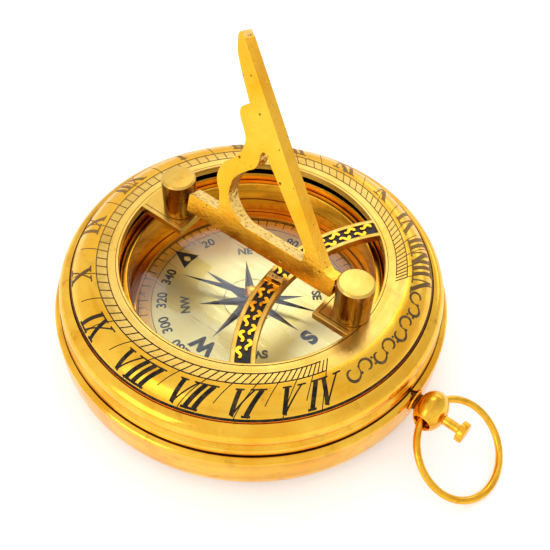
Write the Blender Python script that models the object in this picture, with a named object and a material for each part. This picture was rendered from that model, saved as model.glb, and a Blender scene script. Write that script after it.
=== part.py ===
"""Pocket sundial compass: a brass drum with a compass under glass, and a hinged dial lid on top.

The frame: origin at the centre of the flat base, +Z up, +Y towards noon (XII and the hinge),
-Y towards the pendant with its push button and bow ring, +X east.
"""
import math

import bmesh
import bpy
from mathutils import Matrix, Vector

MM = 0.001
FINE_GAP = 0.10 * MM        # between pieces that are fixed to each other
RUN_GAP = 0.20 * MM         # between pieces that move past each other
SEGMENTS = 48               # sides of every large turned piece
SMALL_SEGMENTS = 16         # sides of pins, posts and knuckles
WIRE_SIDES = 8
FINE_WIRE_SIDES = 4
PIN_SIDES = 12
OVERSHOOT = 1.0 * MM        # how far a cutter passes the face that it cuts

# Overall heights, from the surface that the case stands on
DIAL_TOP = 17.1 * MM        # flat top of the dial ring
SEAM = 9.25 * MM            # where the lid meets the drum

# Drum
DRUM_RADIUS = 31.75 * MM    # 63.5 mm across, two and a half inches
DRUM_CORNER = 4.6 * MM      # rounded bottom edge
DRUM_WALL = 1.3 * MM
DRUM_FLOOR = 1.2 * MM
DRUM_FLANGE_INNER = 28.3 * MM
DRUM_FLANGE_DEPTH = 1.2 * MM
DRUM_SHOULDER = 0.75 * MM

# Lid frame: the bead and the lip under it
LIP_RADIUS = 30.75 * MM
BEAD_RADIUS = 30.5 * MM
BEAD_NECK = 30.0 * MM
SKIRT_INNER = 29.3 * MM
BEAD_MIDDLE = 4.8 * MM      # below the dial's top
BEAD_BOTTOM = 5.7 * MM      # below the dial's top
LIP_BEVEL = 0.3 * MM
LIP_HEIGHT = 1.2 * MM
LIP_TAPER = 0.1 * MM

# Dial plate
OPENING_RADIUS = 20.7 * MM
FLAT_RADIUS = 24.1 * MM     # outer edge of the flat scale
DIAL_RADIUS = 28.5 * MM     # where the numeral band meets the bead
DIAL_DROP = 2.85 * MM       # how far the numeral band curves down
PLATE = 1.2 * MM
TAB_HALF_WIDTH = 3.7 * MM
NORTH_TAB_END = 11.8 * MM
SOUTH_TAB_END = -14.3 * MM
BAND_RADIUS = 27.4 * MM     # middle of the curved band across the opening
BAND_CENTRE = -33.6 * MM    # its centre of curvature on the noon line
BAND_HALF_WIDTH = 1.8 * MM
BAND_STEPS = 14
JOIN = 1.5 * MM             # how far the tabs and the band run into the ring

# Posts and the gnomon between them
POST_RADIUS = 2.75 * MM
POST_HEIGHT = 6.9 * MM
POST_BEVEL = 0.3 * MM
NORTH_POST = 15.1 * MM
SOUTH_POST = -18.7 * MM
PIVOT_HEIGHT = 4.05 * MM    # above the dial's top
PIVOT_RADIUS = 0.6 * MM
PIVOT_CLEARANCE = 0.06 * MM
PIVOT_DEPTH = 1.9 * MM
SCREW_RADIUS = 0.8 * MM
SCREW_HEAD_RADIUS = 1.7 * MM
SCREW_HEAD = 0.6 * MM
SCREW_REACH = 1.5 * MM
SCREW_SLOT_HALF_WIDTH = 0.2 * MM
GNOMON_HALF_THICKNESS = 1.2 * MM
GNOMON_LEAN = 18.0          # degrees towards the east as it stands
BAR_LOW = -1.8 * MM         # below the pivots
BAR_NORTH_TOP = 1.4 * MM
BAR_SOUTH_TOP = 1.2 * MM

# Compass
CUP_RADIUS = 21.5 * MM
CUP_BORE = 20.6 * MM
CUP_REBATE = 21.0 * MM      # wider bore that takes the glass and its ring
CUP_RIM = 14.45 * MM
CUP_FOOT = DRUM_FLOOR + FINE_GAP
CUP_FLOOR = 1.0 * MM
CUP_BEVEL = 0.15 * MM
CARD_TOP = 5.0 * MM
CARD_THICKNESS = 0.5 * MM
CARD_SHELF_INNER = 18.0 * MM
CARD_HOLE = 0.7 * MM
CHAPTER_INNER = 18.95 * MM
CHAPTER_HEIGHT = 0.4 * MM
GLASS_TOP = 9.65 * MM
GLASS_THICKNESS = 1.0 * MM
BEZEL_INNER = 19.65 * MM
BEZEL_TOP = 13.2 * MM
BEZEL_BEVEL = 0.25 * MM
NEEDLE_LENGTH = 12.6 * MM   # from the pivot to each tip
NEEDLE_HALF_WIDTH = 0.75 * MM
NEEDLE_THICKNESS = 0.3 * MM
NEEDLE_HEIGHT = 6.9 * MM
NEEDLE_BEARING = 20.0       # degrees west of north
CAP_RADIUS = 1.25 * MM
CAP_TOP = 8.1 * MM
CAP_SHOULDER = 0.4 * MM
PIN_RADIUS = 0.3 * MM
PIN_TIP = 7.3 * MM
PIN_BOSS_RADIUS = 1.6 * MM

# Hinge at the north side
HINGE_Y = 30.9 * MM
KNUCKLE_RADIUS = 0.85 * MM
KNUCKLE_CHANNEL = 0.98 * MM     # cut into the drum's rim and the lid's lip
HINGE_PIN_RADIUS = 0.35 * MM
KNUCKLE_LENGTH = 1.8 * MM
SPRING_RADIUS = 0.6 * MM
SPRING_WIRE = 0.10 * MM
SPRING_TURNS = 2.5
SPRING_SPACE = 1.6 * MM     # between the lid's knuckle and each of the case's
HINGE_REACH = 4.5 * MM      # from the middle to each end of the pin

# Pendant, push button and bow at the south side
PENDANT_AZIMUTH = -1.7      # degrees about Z, a little west of the noon line
PENDANT_Z = 7.9 * MM
PENDANT_Y = -34.6 * MM
PENDANT_HALF_DEPTH = 2.35 * MM
PENDANT_HALF_HEIGHT = 3.15 * MM
NECK_RADIUS = 1.15 * MM
NECK_FLANGE = 1.8 * MM
BOW_HOLE_RADIUS = 1.2 * MM
BOW_FLARE = 0.45 * MM       # the sockets' mouths open out
BOW_SOCKET_END = 1.1 * MM   # from the pendant's middle
BEAD_SWEEP = 66.0           # degrees, each way along the pendant's rounded side
STEM_RADIUS = 0.8 * MM
HEAD_RADIUS = 1.6 * MM
HEAD_THICKNESS = 1.2 * MM
STEM_HEAD_Y = -39.3 * MM
LATCH_Y = -27.2 * MM        # inner face of the latch plate
LATCH_THICKNESS = 0.8 * MM
LATCH_HALF_WIDTH = 1.5 * MM
LATCH_TOP = 11.3 * MM
NOSE_THICKNESS = 0.6 * MM
NOSE_REACH = 0.9 * MM
KEEPER_DEPTH = 1.0 * MM
COIL_RADIUS = 1.15 * MM
COIL_WIRE = 0.16 * MM
COIL_TURNS = 4
COIL_LENGTH = 2.0 * MM
BUTTON_TRAVEL = 1.0 * MM
BRACKET_THICKNESS = 0.6 * MM
BRACKET_HALF_WIDTH = 2.2 * MM
LATCH_FOOT = 0.35 * MM       # below the stem
BOW_RADIUS = 7.15 * MM
BOW_WIRE = 0.55 * MM
BOW_STEPS = 36
BOW_OFFSET = 6.8 * MM       # from the hole's axis to the ring's centre
BOW_SKEW = -5.0             # degrees, how far the loose ring has turned in its hole
BOW_REST = 31.5             # degrees below level, where the ring lies on the surface


def clear_scene():
    for obj in list(bpy.data.objects):
        bpy.data.objects.remove(obj, do_unlink=True)


def principled(name, colour, roughness, metallic, alpha=1.0):
    material = bpy.data.materials.new(name)
    material.use_nodes = True
    shader = material.node_tree.nodes["Principled BSDF"]
    shader.inputs["Base Color"].default_value = (*colour, 1.0)
    shader.inputs["Roughness"].default_value = roughness
    shader.inputs["Metallic"].default_value = metallic
    shader.inputs["Alpha"].default_value = alpha
    return material


def make_materials():
    return {
        "brass": principled("polished_brass", (0.86, 0.58, 0.16), 0.18, 1.0),
        "cast": principled("cast_brass", (0.82, 0.58, 0.20), 0.32, 1.0),
        "dark": principled("dark_brass", (0.30, 0.19, 0.07), 0.4, 1.0),
        "card": principled("card_print", (0.92, 0.86, 0.60), 0.45, 0.2),
        "blued": principled("blued_steel", (0.10, 0.10, 0.12), 0.3, 0.9),
        "steel": principled("spring_steel", (0.62, 0.62, 0.64), 0.25, 1.0),
        "glass": principled("window_glass", (0.92, 0.95, 0.95), 0.03, 0.0, 0.3),
    }


def new_object(name, mesh, material):
    obj = bpy.data.objects.new(name, mesh)
    bpy.context.collection.objects.link(obj)
    if material is not None:
        mesh.materials.append(material)
    return obj


def finish_mesh(bm, name, smooth_angle=35.0):
    bmesh.ops.remove_doubles(bm, verts=bm.verts, dist=1e-7)
    bmesh.ops.dissolve_degenerate(bm, edges=bm.edges, dist=1e-8)
    bmesh.ops.recalc_face_normals(bm, faces=bm.faces)
    mesh = bpy.data.meshes.new(name)
    bm.to_mesh(mesh)
    bm.free()
    mesh.shade_smooth()
    mesh.set_sharp_from_angle(angle=math.radians(smooth_angle))
    return mesh


def turned(name, profile, material, segments=SEGMENTS):
    """Spin a profile of (radius, height) points about Z; a profile off the axis is a closed loop."""
    bm = bmesh.new()
    verts = [bm.verts.new((radius, 0.0, height)) for radius, height in profile]
    on_axis = profile[0][0] == 0.0 and profile[-1][0] == 0.0
    pairs = list(zip(verts, verts[1:]))
    if not on_axis:
        pairs.append((verts[-1], verts[0]))
    edges = [bm.edges.new(pair) for pair in pairs]
    bmesh.ops.spin(bm, geom=verts + edges, cent=(0, 0, 0), axis=(0, 0, 1),
                   angle=math.tau, steps=segments, use_merge=True)
    return new_object(name, finish_mesh(bm, name), material)


def prism(name, outline, low, high, material):
    """Extrude a closed (x, y) outline from one height to another."""
    bm = bmesh.new()
    verts = [bm.verts.new((x, y, low)) for x, y in outline]
    face = bm.faces.new(verts)
    result = bmesh.ops.extrude_face_region(bm, geom=[face])
    lifted = [item for item in result["geom"] if isinstance(item, bmesh.types.BMVert)]
    bmesh.ops.translate(bm, vec=(0, 0, high - low), verts=lifted)
    return new_object(name, finish_mesh(bm, name), material)


def box(name, low, high, material=None):
    x0, y0, z0 = low
    x1, y1, z1 = high
    return prism(name, [(x0, y0), (x1, y0), (x1, y1), (x0, y1)], z0, z1, material)


def rod(name, radius, start, end, material=None, segments=SMALL_SEGMENTS):
    """A plain round bar between two points."""
    start = Vector(start)
    along = Vector(end) - start
    bm = bmesh.new()
    bmesh.ops.create_cone(bm, cap_ends=True, segments=segments, radius1=radius, radius2=radius,
                          depth=along.length)
    turn = Vector((0, 0, 1)).rotation_difference(along).to_matrix().to_4x4()
    bmesh.ops.transform(bm, matrix=Matrix.Translation(start + along / 2) @ turn, verts=bm.verts)
    return new_object(name, finish_mesh(bm, name), material)


def swept(name, path, radius, material, sides=WIRE_SIDES):
    """Round wire along a list of points."""
    curve = bpy.data.curves.new(name, "CURVE")
    curve.dimensions = "3D"
    curve.bevel_depth = radius
    curve.bevel_resolution = sides // 4
    curve.use_fill_caps = True
    spline = curve.splines.new("POLY")
    spline.points.add(len(path) - 1)
    for point, place in zip(spline.points, path):
        point.co = (*place, 1.0)
    obj = bpy.data.objects.new(name, curve)
    bpy.context.collection.objects.link(obj)
    curve.materials.append(material)
    return obj


def combine(obj, other, operation):
    """Keep the other object as a hidden boolean operand."""
    modifier = obj.modifiers.new(other.name, "BOOLEAN")
    modifier.operation = operation
    modifier.object = other
    modifier.solver = "EXACT"
    other.hide_render = True
    other.display_type = "WIRE"


def arc(centre, radius, start, end, steps):
    """Points on an arc in the (radius, height) or (x, y) plane, angles in degrees."""
    points = []
    for index in range(steps + 1):
        angle = math.radians(start + (end - start) * index / steps)
        points.append((centre[0] + radius * math.cos(angle),
                       centre[1] + radius * math.sin(angle)))
    return points


def helix(start, length, radius, turns, per_turn=10):
    """A coil about the X axis."""
    points = []
    count = round(turns * per_turn)
    for index in range(count + 1):
        angle = math.tau * index / per_turn
        along = start + length * index / count
        points.append((along, radius * math.cos(angle), radius * math.sin(angle)))
    return points


def pivot(name, place, rotation_z=0.0, parent=None):
    empty = bpy.data.objects.new(name, None)
    empty.location = place
    empty.rotation_euler = (0.0, 0.0, math.radians(rotation_z))
    empty.parent = parent
    bpy.context.collection.objects.link(empty)
    return empty


def hang(obj, empty):
    """Parent to an empty; the mesh is already drawn about the empty's own origin."""
    obj.parent = empty
    return obj


# The drum and the compass in it

def make_drum(mats):
    top = SEAM - FINE_GAP
    outer = arc((DRUM_RADIUS - DRUM_CORNER, DRUM_CORNER), DRUM_CORNER, -90, 0, 5)
    shoulder = arc((DRUM_RADIUS - DRUM_SHOULDER, top - DRUM_SHOULDER), DRUM_SHOULDER, 0, 90, 2)
    inner_wall = DRUM_RADIUS - DRUM_WALL
    inside = arc((DRUM_RADIUS - DRUM_CORNER, DRUM_CORNER), DRUM_CORNER - DRUM_WALL, 0, -90, 3)
    profile = [(0.0, 0.0)] + outer + shoulder
    profile += [(DRUM_FLANGE_INNER, top), (DRUM_FLANGE_INNER, top - DRUM_FLANGE_DEPTH),
                (inner_wall, top - DRUM_FLANGE_DEPTH)]
    profile += inside[:-1] + [(DRUM_RADIUS - DRUM_CORNER, DRUM_FLOOR), (0.0, DRUM_FLOOR)]
    drum = turned("case_drum", profile, mats["brass"])
    side = pivot("bore_side", (0, 0, 0), PENDANT_AZIMUTH)
    neck = rod("neck_bore", NECK_RADIUS + FINE_GAP, (0, -DRUM_RADIUS - OVERSHOOT, PENDANT_Z),
               (0, -DRUM_RADIUS + DRUM_WALL + FINE_GAP, PENDANT_Z))
    stem = rod("stem_bore", STEM_RADIUS, (0, -DRUM_RADIUS, PENDANT_Z),
               (0, LATCH_Y + OVERSHOOT, PENDANT_Z))
    for bore in (neck, stem):
        combine(drum, hang(bore, side), "DIFFERENCE")
    cut_hinge_channel(drum)


def make_compass(mats):
    shelf = CARD_TOP - CARD_THICKNESS - FINE_GAP
    glass_low = GLASS_TOP - GLASS_THICKNESS
    inner_floor = CUP_FOOT + CUP_FLOOR
    turned("compass_cup", [
        (0.0, CUP_FOOT), (CUP_RADIUS, CUP_FOOT), (CUP_RADIUS, CUP_RIM - CUP_BEVEL),
        (CUP_RADIUS - CUP_BEVEL, CUP_RIM), (CUP_RADIUS - 2 * CUP_BEVEL, CUP_RIM),
        (CUP_REBATE, CUP_RIM - 2 * CUP_BEVEL), (CUP_REBATE, glass_low - FINE_GAP),
        (CUP_BORE, glass_low - FINE_GAP), (CUP_BORE, shelf), (CARD_SHELF_INNER, shelf),
        (CARD_SHELF_INNER, inner_floor), (0.0, inner_floor)], mats["brass"])
    card_radius = CUP_BORE - FINE_GAP
    turned("compass_card", [
        (CARD_HOLE, CARD_TOP), (CARD_HOLE, CARD_TOP - CARD_THICKNESS),
        (card_radius, CARD_TOP - CARD_THICKNESS), (card_radius, CARD_TOP)], mats["card"])
    low = CARD_TOP + FINE_GAP
    high = low + CHAPTER_HEIGHT
    turned("chapter_ring", [
        (CHAPTER_INNER, low), (card_radius, low), (card_radius, high),
        (CHAPTER_INNER + CHAPTER_HEIGHT / 2, high)], mats["brass"])
    glass_radius = CUP_REBATE - FINE_GAP
    turned("compass_glass", [(0.0, glass_low), (glass_radius, glass_low),
                             (glass_radius, GLASS_TOP), (0.0, GLASS_TOP)], mats["glass"])
    low = GLASS_TOP + FINE_GAP
    turned("glass_bezel", [
        (BEZEL_INNER, low), (glass_radius, low), (glass_radius, BEZEL_TOP - BEZEL_BEVEL),
        (glass_radius - BEZEL_BEVEL, BEZEL_TOP), (BEZEL_INNER + BEZEL_BEVEL, BEZEL_TOP),
        (BEZEL_INNER, BEZEL_TOP - BEZEL_BEVEL)], mats["brass"])


def make_needle(mats):
    foot = CUP_FOOT + CUP_FLOOR + FINE_GAP
    boss_top = CARD_TOP - CARD_THICKNESS - FINE_GAP
    turned("needle_pin", [
        (0.0, foot), (PIN_BOSS_RADIUS, foot), (PIN_BOSS_RADIUS, boss_top), (PIN_RADIUS, boss_top),
        (PIN_RADIUS, PIN_TIP - 2 * PIN_RADIUS), (0.0, PIN_TIP)], mats["steel"], SMALL_SEGMENTS)
    spin = pivot("needle_axis", (0, 0, 0), NEEDLE_BEARING)
    hole = PIN_RADIUS + 2 * FINE_GAP
    low = NEEDLE_HEIGHT - NEEDLE_THICKNESS
    hub = CAP_RADIUS - 2 * FINE_GAP
    shoulder = math.degrees(math.acos(-NEEDLE_HALF_WIDTH / hub))
    west = arc((0, 0), hub, shoulder, 360 - shoulder, 4)
    blade_outline = [(0.0, NEEDLE_LENGTH)] + west + [(0.0, -NEEDLE_LENGTH)]
    blade_outline += [(-x, y) for x, y in reversed(blade_outline[1:-1])]
    needle = hang(prism("needle", blade_outline, low, NEEDLE_HEIGHT, mats["blued"]), spin)
    combine(needle, hang(rod("needle_hole", hub / 2, (0, 0, low - OVERSHOOT),
                            (0, 0, NEEDLE_HEIGHT + OVERSHOOT)), spin), "DIFFERENCE")
    cap_low = NEEDLE_HEIGHT + FINE_GAP
    dome = [(CAP_RADIUS, CAP_TOP - CAP_SHOULDER), (CAP_RADIUS - CAP_SHOULDER, CAP_TOP), (0.0, CAP_TOP)]
    cap_profile = [(0.0, PIN_TIP + FINE_GAP), (hole, PIN_TIP - PIN_RADIUS), (hole, cap_low),
                   (CAP_RADIUS, cap_low)] + dome
    hang(turned("needle_cap", cap_profile, mats["brass"], SMALL_SEGMENTS), spin)


# The lid

def make_lid_frame(mats):
    bead = DIAL_TOP - BEAD_MIDDLE
    neck = DIAL_TOP - BEAD_BOTTOM
    dial_edge = DIAL_TOP - DIAL_DROP
    lip_low = SEAM + FINE_GAP
    roll = BEAD_RADIUS - DIAL_RADIUS
    outer = [(LIP_RADIUS - LIP_BEVEL, lip_low), (LIP_RADIUS, lip_low + LIP_BEVEL),
             (LIP_RADIUS - LIP_TAPER, lip_low + LIP_HEIGHT), (BEAD_NECK, neck)]
    rolled = arc((BEAD_RADIUS - roll, bead), roll, -25, 86, 6)
    seat = [(DIAL_RADIUS + FINE_GAP, dial_edge - FINE_GAP), (DIAL_RADIUS + FINE_GAP, dial_edge - PLATE),
            (DIAL_RADIUS - PLATE, dial_edge - PLATE), (DIAL_RADIUS - PLATE, dial_edge - 1.6 * PLATE),
            (SKIRT_INNER - PLATE, dial_edge - 2 * PLATE), (SKIRT_INNER, neck), (SKIRT_INNER, lip_low)]
    cut_hinge_channel(turned("lid_frame", outer + rolled + seat, mats["brass"]))


def make_dial_plate(mats):
    run = DIAL_RADIUS - FLAT_RADIUS
    curve = (run ** 2 + DIAL_DROP ** 2) / (2 * DIAL_DROP)
    sweep = math.degrees(math.asin(run / curve))
    crown = arc((FLAT_RADIUS, DIAL_TOP - curve), curve, 90, 90 - sweep, 5)
    edge = DIAL_TOP - DIAL_DROP - PLATE + FINE_GAP
    under = [(DIAL_RADIUS, edge), (DIAL_RADIUS - PLATE, edge)]
    hollow = arc((FLAT_RADIUS, DIAL_TOP - curve), curve - PLATE, 90 - 0.72 * sweep, 90, 3)
    low = DIAL_TOP - PLATE
    profile = [(OPENING_RADIUS, DIAL_TOP)] + crown + under + hollow + [(OPENING_RADIUS, low)]
    plate = turned("dial_plate", profile, mats["brass"])
    reach = OPENING_RADIUS + JOIN
    tabs = (("north_tab", NORTH_TAB_END, reach), ("south_tab", -reach, SOUTH_TAB_END))
    for name, start, end in tabs:
        tab = box(name, (-TAB_HALF_WIDTH, start, low), (TAB_HALF_WIDTH, end, DIAL_TOP))
        combine(plate, tab, "UNION")
    meet = (BAND_RADIUS ** 2 - BAND_CENTRE ** 2 - reach ** 2) / (-2 * BAND_CENTRE)
    half_angle = math.degrees(math.acos((meet - BAND_CENTRE) / BAND_RADIUS))
    centre = (0.0, BAND_CENTRE)
    outer = arc(centre, BAND_RADIUS + BAND_HALF_WIDTH, 90 - half_angle, 90 + half_angle, BAND_STEPS)
    inner = arc(centre, BAND_RADIUS - BAND_HALF_WIDTH, 90 + half_angle, 90 - half_angle, BAND_STEPS)
    combine(plate, prism("hour_band", outer + inner, low, DIAL_TOP, None), "UNION")
    for name, place in (("north_screw_hole", NORTH_POST), ("south_screw_hole", SOUTH_POST)):
        hole = rod(name, SCREW_RADIUS + FINE_GAP, (0, place, low - OVERSHOOT),
                   (0, place, DIAL_TOP + OVERSHOOT))
        combine(plate, hole, "DIFFERENCE")


def make_posts(mats):
    foot = DIAL_TOP + FINE_GAP
    top = DIAL_TOP + POST_HEIGHT
    axis = DIAL_TOP + PIVOT_HEIGHT
    under = DIAL_TOP - PLATE - FINE_GAP
    for side, place, inward in (("north", NORTH_POST, -1), ("south", SOUTH_POST, 1)):
        centre = pivot(side + "_post_place", (0, place, 0))
        socket = SCREW_RADIUS + FINE_GAP
        post = turned(side + "_post", [
            (0.0, foot + SCREW_REACH + FINE_GAP), (socket, foot + SCREW_REACH + FINE_GAP), (socket, foot),
            (POST_RADIUS, foot), (POST_RADIUS, top - POST_BEVEL), (POST_RADIUS - POST_BEVEL, top),
            (0.0, top)], mats["brass"], 24)
        hang(post, centre)
        bore_end = POST_RADIUS - PIVOT_DEPTH - FINE_GAP
        bore = rod(side + "_pivot_bore", PIVOT_RADIUS + PIVOT_CLEARANCE,
                   (0, inward * bore_end, axis), (0, inward * (POST_RADIUS + OVERSHOOT), axis))
        combine(post, hang(bore, centre), "DIFFERENCE")
        screw = turned(side + "_post_screw", [
            (0.0, under - SCREW_HEAD), (SCREW_HEAD_RADIUS - POST_BEVEL, under - SCREW_HEAD),
            (SCREW_HEAD_RADIUS, under - SCREW_HEAD + POST_BEVEL), (SCREW_HEAD_RADIUS, under),
            (SCREW_RADIUS, under), (SCREW_RADIUS, foot + SCREW_REACH), (0.0, foot + SCREW_REACH)],
            mats["steel"], SMALL_SEGMENTS)
        hang(screw, centre)
        slot_end = SCREW_HEAD_RADIUS + OVERSHOOT
        slot = box(side + "_screw_slot", (-slot_end, -SCREW_SLOT_HALF_WIDTH, under - 2 * SCREW_HEAD),
                   (slot_end, SCREW_SLOT_HALF_WIDTH, under - SCREW_HEAD / 2))
        combine(screw, hang(slot, centre), "DIFFERENCE")


def gnomon_outline():
    """The style, its scrolled stay and the bar below, as (along noon, up from the pivot) in millimetres."""
    bar_south = (SOUTH_POST + POST_RADIUS + RUN_GAP) / MM
    bar_north = (NORTH_POST - POST_RADIUS - RUN_GAP) / MM
    bar_low = BAR_LOW / MM
    north_top = BAR_NORTH_TOP / MM
    south_top = BAR_SOUTH_TOP / MM
    bar = [(bar_south, bar_low), (bar_north, bar_low), (bar_north, north_top), (6.3, north_top)]
    belly = arc((3.2, 7.2), 4.55, -30, 48, 4)
    waist = arc((8.4, 14.2), 4.15, 216, 158, 3)
    curl = arc((3.8, 17.8), 2.35, -18, 62, 4)
    tip = [(8.6, 25.6), (9.1, 27.8), (8.8, 28.9), (7.8, 28.0)]
    style = [(-13.4, 1.75), (-14.6, south_top), (bar_south, south_top)]
    return bar + belly + waist + curl + tip + style


def gnomon_window():
    """The opening between the style, the stay and the bar, in the same millimetres."""
    straight = [(-9.8, 1.1), (-9.8, 3.2), (-0.3, 13.3)]
    hook = arc((0.6, 13.3), 0.6, 110, -20, 3)
    neck = arc((3.0, 12.4), 1.9, 200, 250, 2)
    bowl = arc((1.2, 5.6), 3.8, 47, -55, 5)
    return straight + hook + neck + bowl + [(1.6, 1.5), (0.8, 1.1)]


def make_gnomon(mats):
    axis = DIAL_TOP + PIVOT_HEIGHT
    hinge = pivot("gnomon_axis", (0, 0, axis))
    hinge.rotation_euler.y = math.radians(GNOMON_LEAN)
    stand = Matrix(((0, 0, 1), (1, 0, 0), (0, 1, 0))).to_4x4()

    def plate(name, outline, half, material):
        points = [(along * MM, up * MM) for along, up in outline]
        obj = prism(name, points, -half, half, material)
        obj.data.transform(stand)
        return hang(obj, hinge)

    gnomon = plate("gnomon", gnomon_outline(), GNOMON_HALF_THICKNESS, mats["cast"])
    window = plate("gnomon_window", gnomon_window(), 2 * GNOMON_HALF_THICKNESS, None)
    combine(gnomon, window, "DIFFERENCE")
    for side, post, outward in (("north", NORTH_POST, 1), ("south", SOUTH_POST, -1)):
        face = post - outward * (POST_RADIUS + RUN_GAP)
        start = face - outward * PIVOT_DEPTH
        end = face + outward * (RUN_GAP + PIVOT_DEPTH - FINE_GAP)
        pin = rod(side + "_pivot_pin", PIVOT_RADIUS, (0, start, 0), (0, end, 0), mats["steel"], PIN_SIDES)
        hang(pin, hinge)
        bore = rod(side + "_pin_seat", PIVOT_RADIUS + FINE_GAP / 2, (0, start - outward * FINE_GAP, 0),
                   (0, face + outward * OVERSHOOT, 0), None, PIN_SIDES)
        combine(gnomon, hang(bore, hinge), "DIFFERENCE")


# The hinge

def cut_hinge_channel(obj):
    """A round channel along the hinge's axis."""
    reach = HINGE_REACH + RUN_GAP
    channel = rod(obj.name + "_channel", KNUCKLE_CHANNEL, (-reach, HINGE_Y, SEAM),
                  (reach, HINGE_Y, SEAM))
    combine(obj, channel, "DIFFERENCE")


def make_hinge(mats):
    axis = pivot("lid_hinge_axis", (0, HINGE_Y, SEAM))
    half = KNUCKLE_LENGTH / 2
    outer = half + SPRING_SPACE
    far = outer + KNUCKLE_LENGTH
    for side, start, end in (("east", outer, far), ("west", -far, -outer), ("lid", -half, half)):
        barrel = rod("hinge_knuckle_" + side, KNUCKLE_RADIUS, (start, 0, 0), (end, 0, 0), mats["brass"])
        bore = rod(side + "_knuckle_bore", HINGE_PIN_RADIUS + FINE_GAP, (start - OVERSHOOT, 0, 0),
                   (end + OVERSHOOT, 0, 0))
        combine(hang(barrel, axis), hang(bore, axis), "DIFFERENCE")
    pin = rod("hinge_pin", HINGE_PIN_RADIUS, (-HINGE_REACH, 0, 0), (HINGE_REACH, 0, 0), mats["steel"],
              PIN_SIDES)
    hang(pin, axis)
    slack = SPRING_WIRE + FINE_GAP
    for side, sign in (("east", 1), ("west", -1)):
        start = (half + slack) * sign
        coil = helix(start, (SPRING_SPACE - 2 * slack) * sign, SPRING_RADIUS, SPRING_TURNS)
        hang(swept("lid_spring_" + side, coil, SPRING_WIRE, mats["steel"], FINE_WIRE_SIDES), axis)


# The pendant, its bow and the push button

def make_pendant(mats):
    side = pivot("pendant_side", (0, 0, 0), PENDANT_AZIMUTH)
    wall = -DRUM_RADIUS - FINE_GAP
    bead_back = PENDANT_Y + PENDANT_HALF_DEPTH
    lay = Matrix.Translation((0, 0, PENDANT_Z)) @ Matrix.Rotation(math.radians(90), 4, "X")

    def laid(name, profile, material, segments=SMALL_SEGMENTS):
        """Turned about the pendant's own axis; heights in the profile run outwards."""
        obj = turned(name, profile, material, segments)
        obj.data.transform(lay)
        return hang(obj, side)

    inside = DRUM_RADIUS - DRUM_WALL - FINE_GAP
    stem_bore = STEM_RADIUS
    flange_end = -bead_back - FINE_GAP
    laid("pendant_neck", [
        (stem_bore, inside), (NECK_RADIUS, inside), (NECK_RADIUS, -wall), (NECK_FLANGE, -wall),
        (NECK_FLANGE, flange_end), (stem_bore, flange_end)], mats["dark"])
    centre = -PENDANT_Y
    rise = 6
    rounded = []
    for index in range(rise + 1):
        angle = math.radians(BEAD_SWEEP * (2 * index / rise - 1))
        rounded.append((PENDANT_HALF_HEIGHT * math.cos(angle),
                        centre + PENDANT_HALF_DEPTH * math.sin(angle)))
    profile = [(stem_bore, rounded[0][1])] + rounded + [(stem_bore, rounded[-1][1])]
    bead = laid("pendant_bead", profile, mats["brass"])
    for name, turn in (("bow_socket_east", 90), ("bow_socket_west", -90)):
        socket = turned(name, [(0.0, BOW_SOCKET_END), (BOW_HOLE_RADIUS, BOW_SOCKET_END),
                               (BOW_HOLE_RADIUS, PENDANT_HALF_HEIGHT - BOW_FLARE),
                               (BOW_HOLE_RADIUS + 2 * BOW_FLARE, PENDANT_HALF_HEIGHT + BOW_FLARE),
                               (0.0, PENDANT_HALF_HEIGHT + BOW_FLARE)], None, SMALL_SEGMENTS)
        socket.data.transform(Matrix.Translation((0, PENDANT_Y, PENDANT_Z))
                              @ Matrix.Rotation(math.radians(turn), 4, "Y"))
        combine(bead, hang(socket, side), "DIFFERENCE")
    return side


def make_bow(mats, side):
    level = pivot("bow_axis", (0, PENDANT_Y, PENDANT_Z), BOW_SKEW, side)
    droop = math.radians(BOW_REST)
    outward = Vector((0.0, -math.cos(droop), -math.sin(droop)))
    across = Vector((1.0, 0.0, 0.0))
    open_end = math.pi - math.asin((BOW_SOCKET_END + 2 * FINE_GAP) / BOW_RADIUS)
    path = []
    for index in range(BOW_STEPS + 1):
        angle = open_end * (2 * index / BOW_STEPS - 1)
        reach = BOW_OFFSET + BOW_RADIUS * math.cos(angle)
        path.append(outward * reach + across * BOW_RADIUS * math.sin(angle))
    hang(swept("bow_ring", path, BOW_WIRE, mats["brass"]), level)


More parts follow.
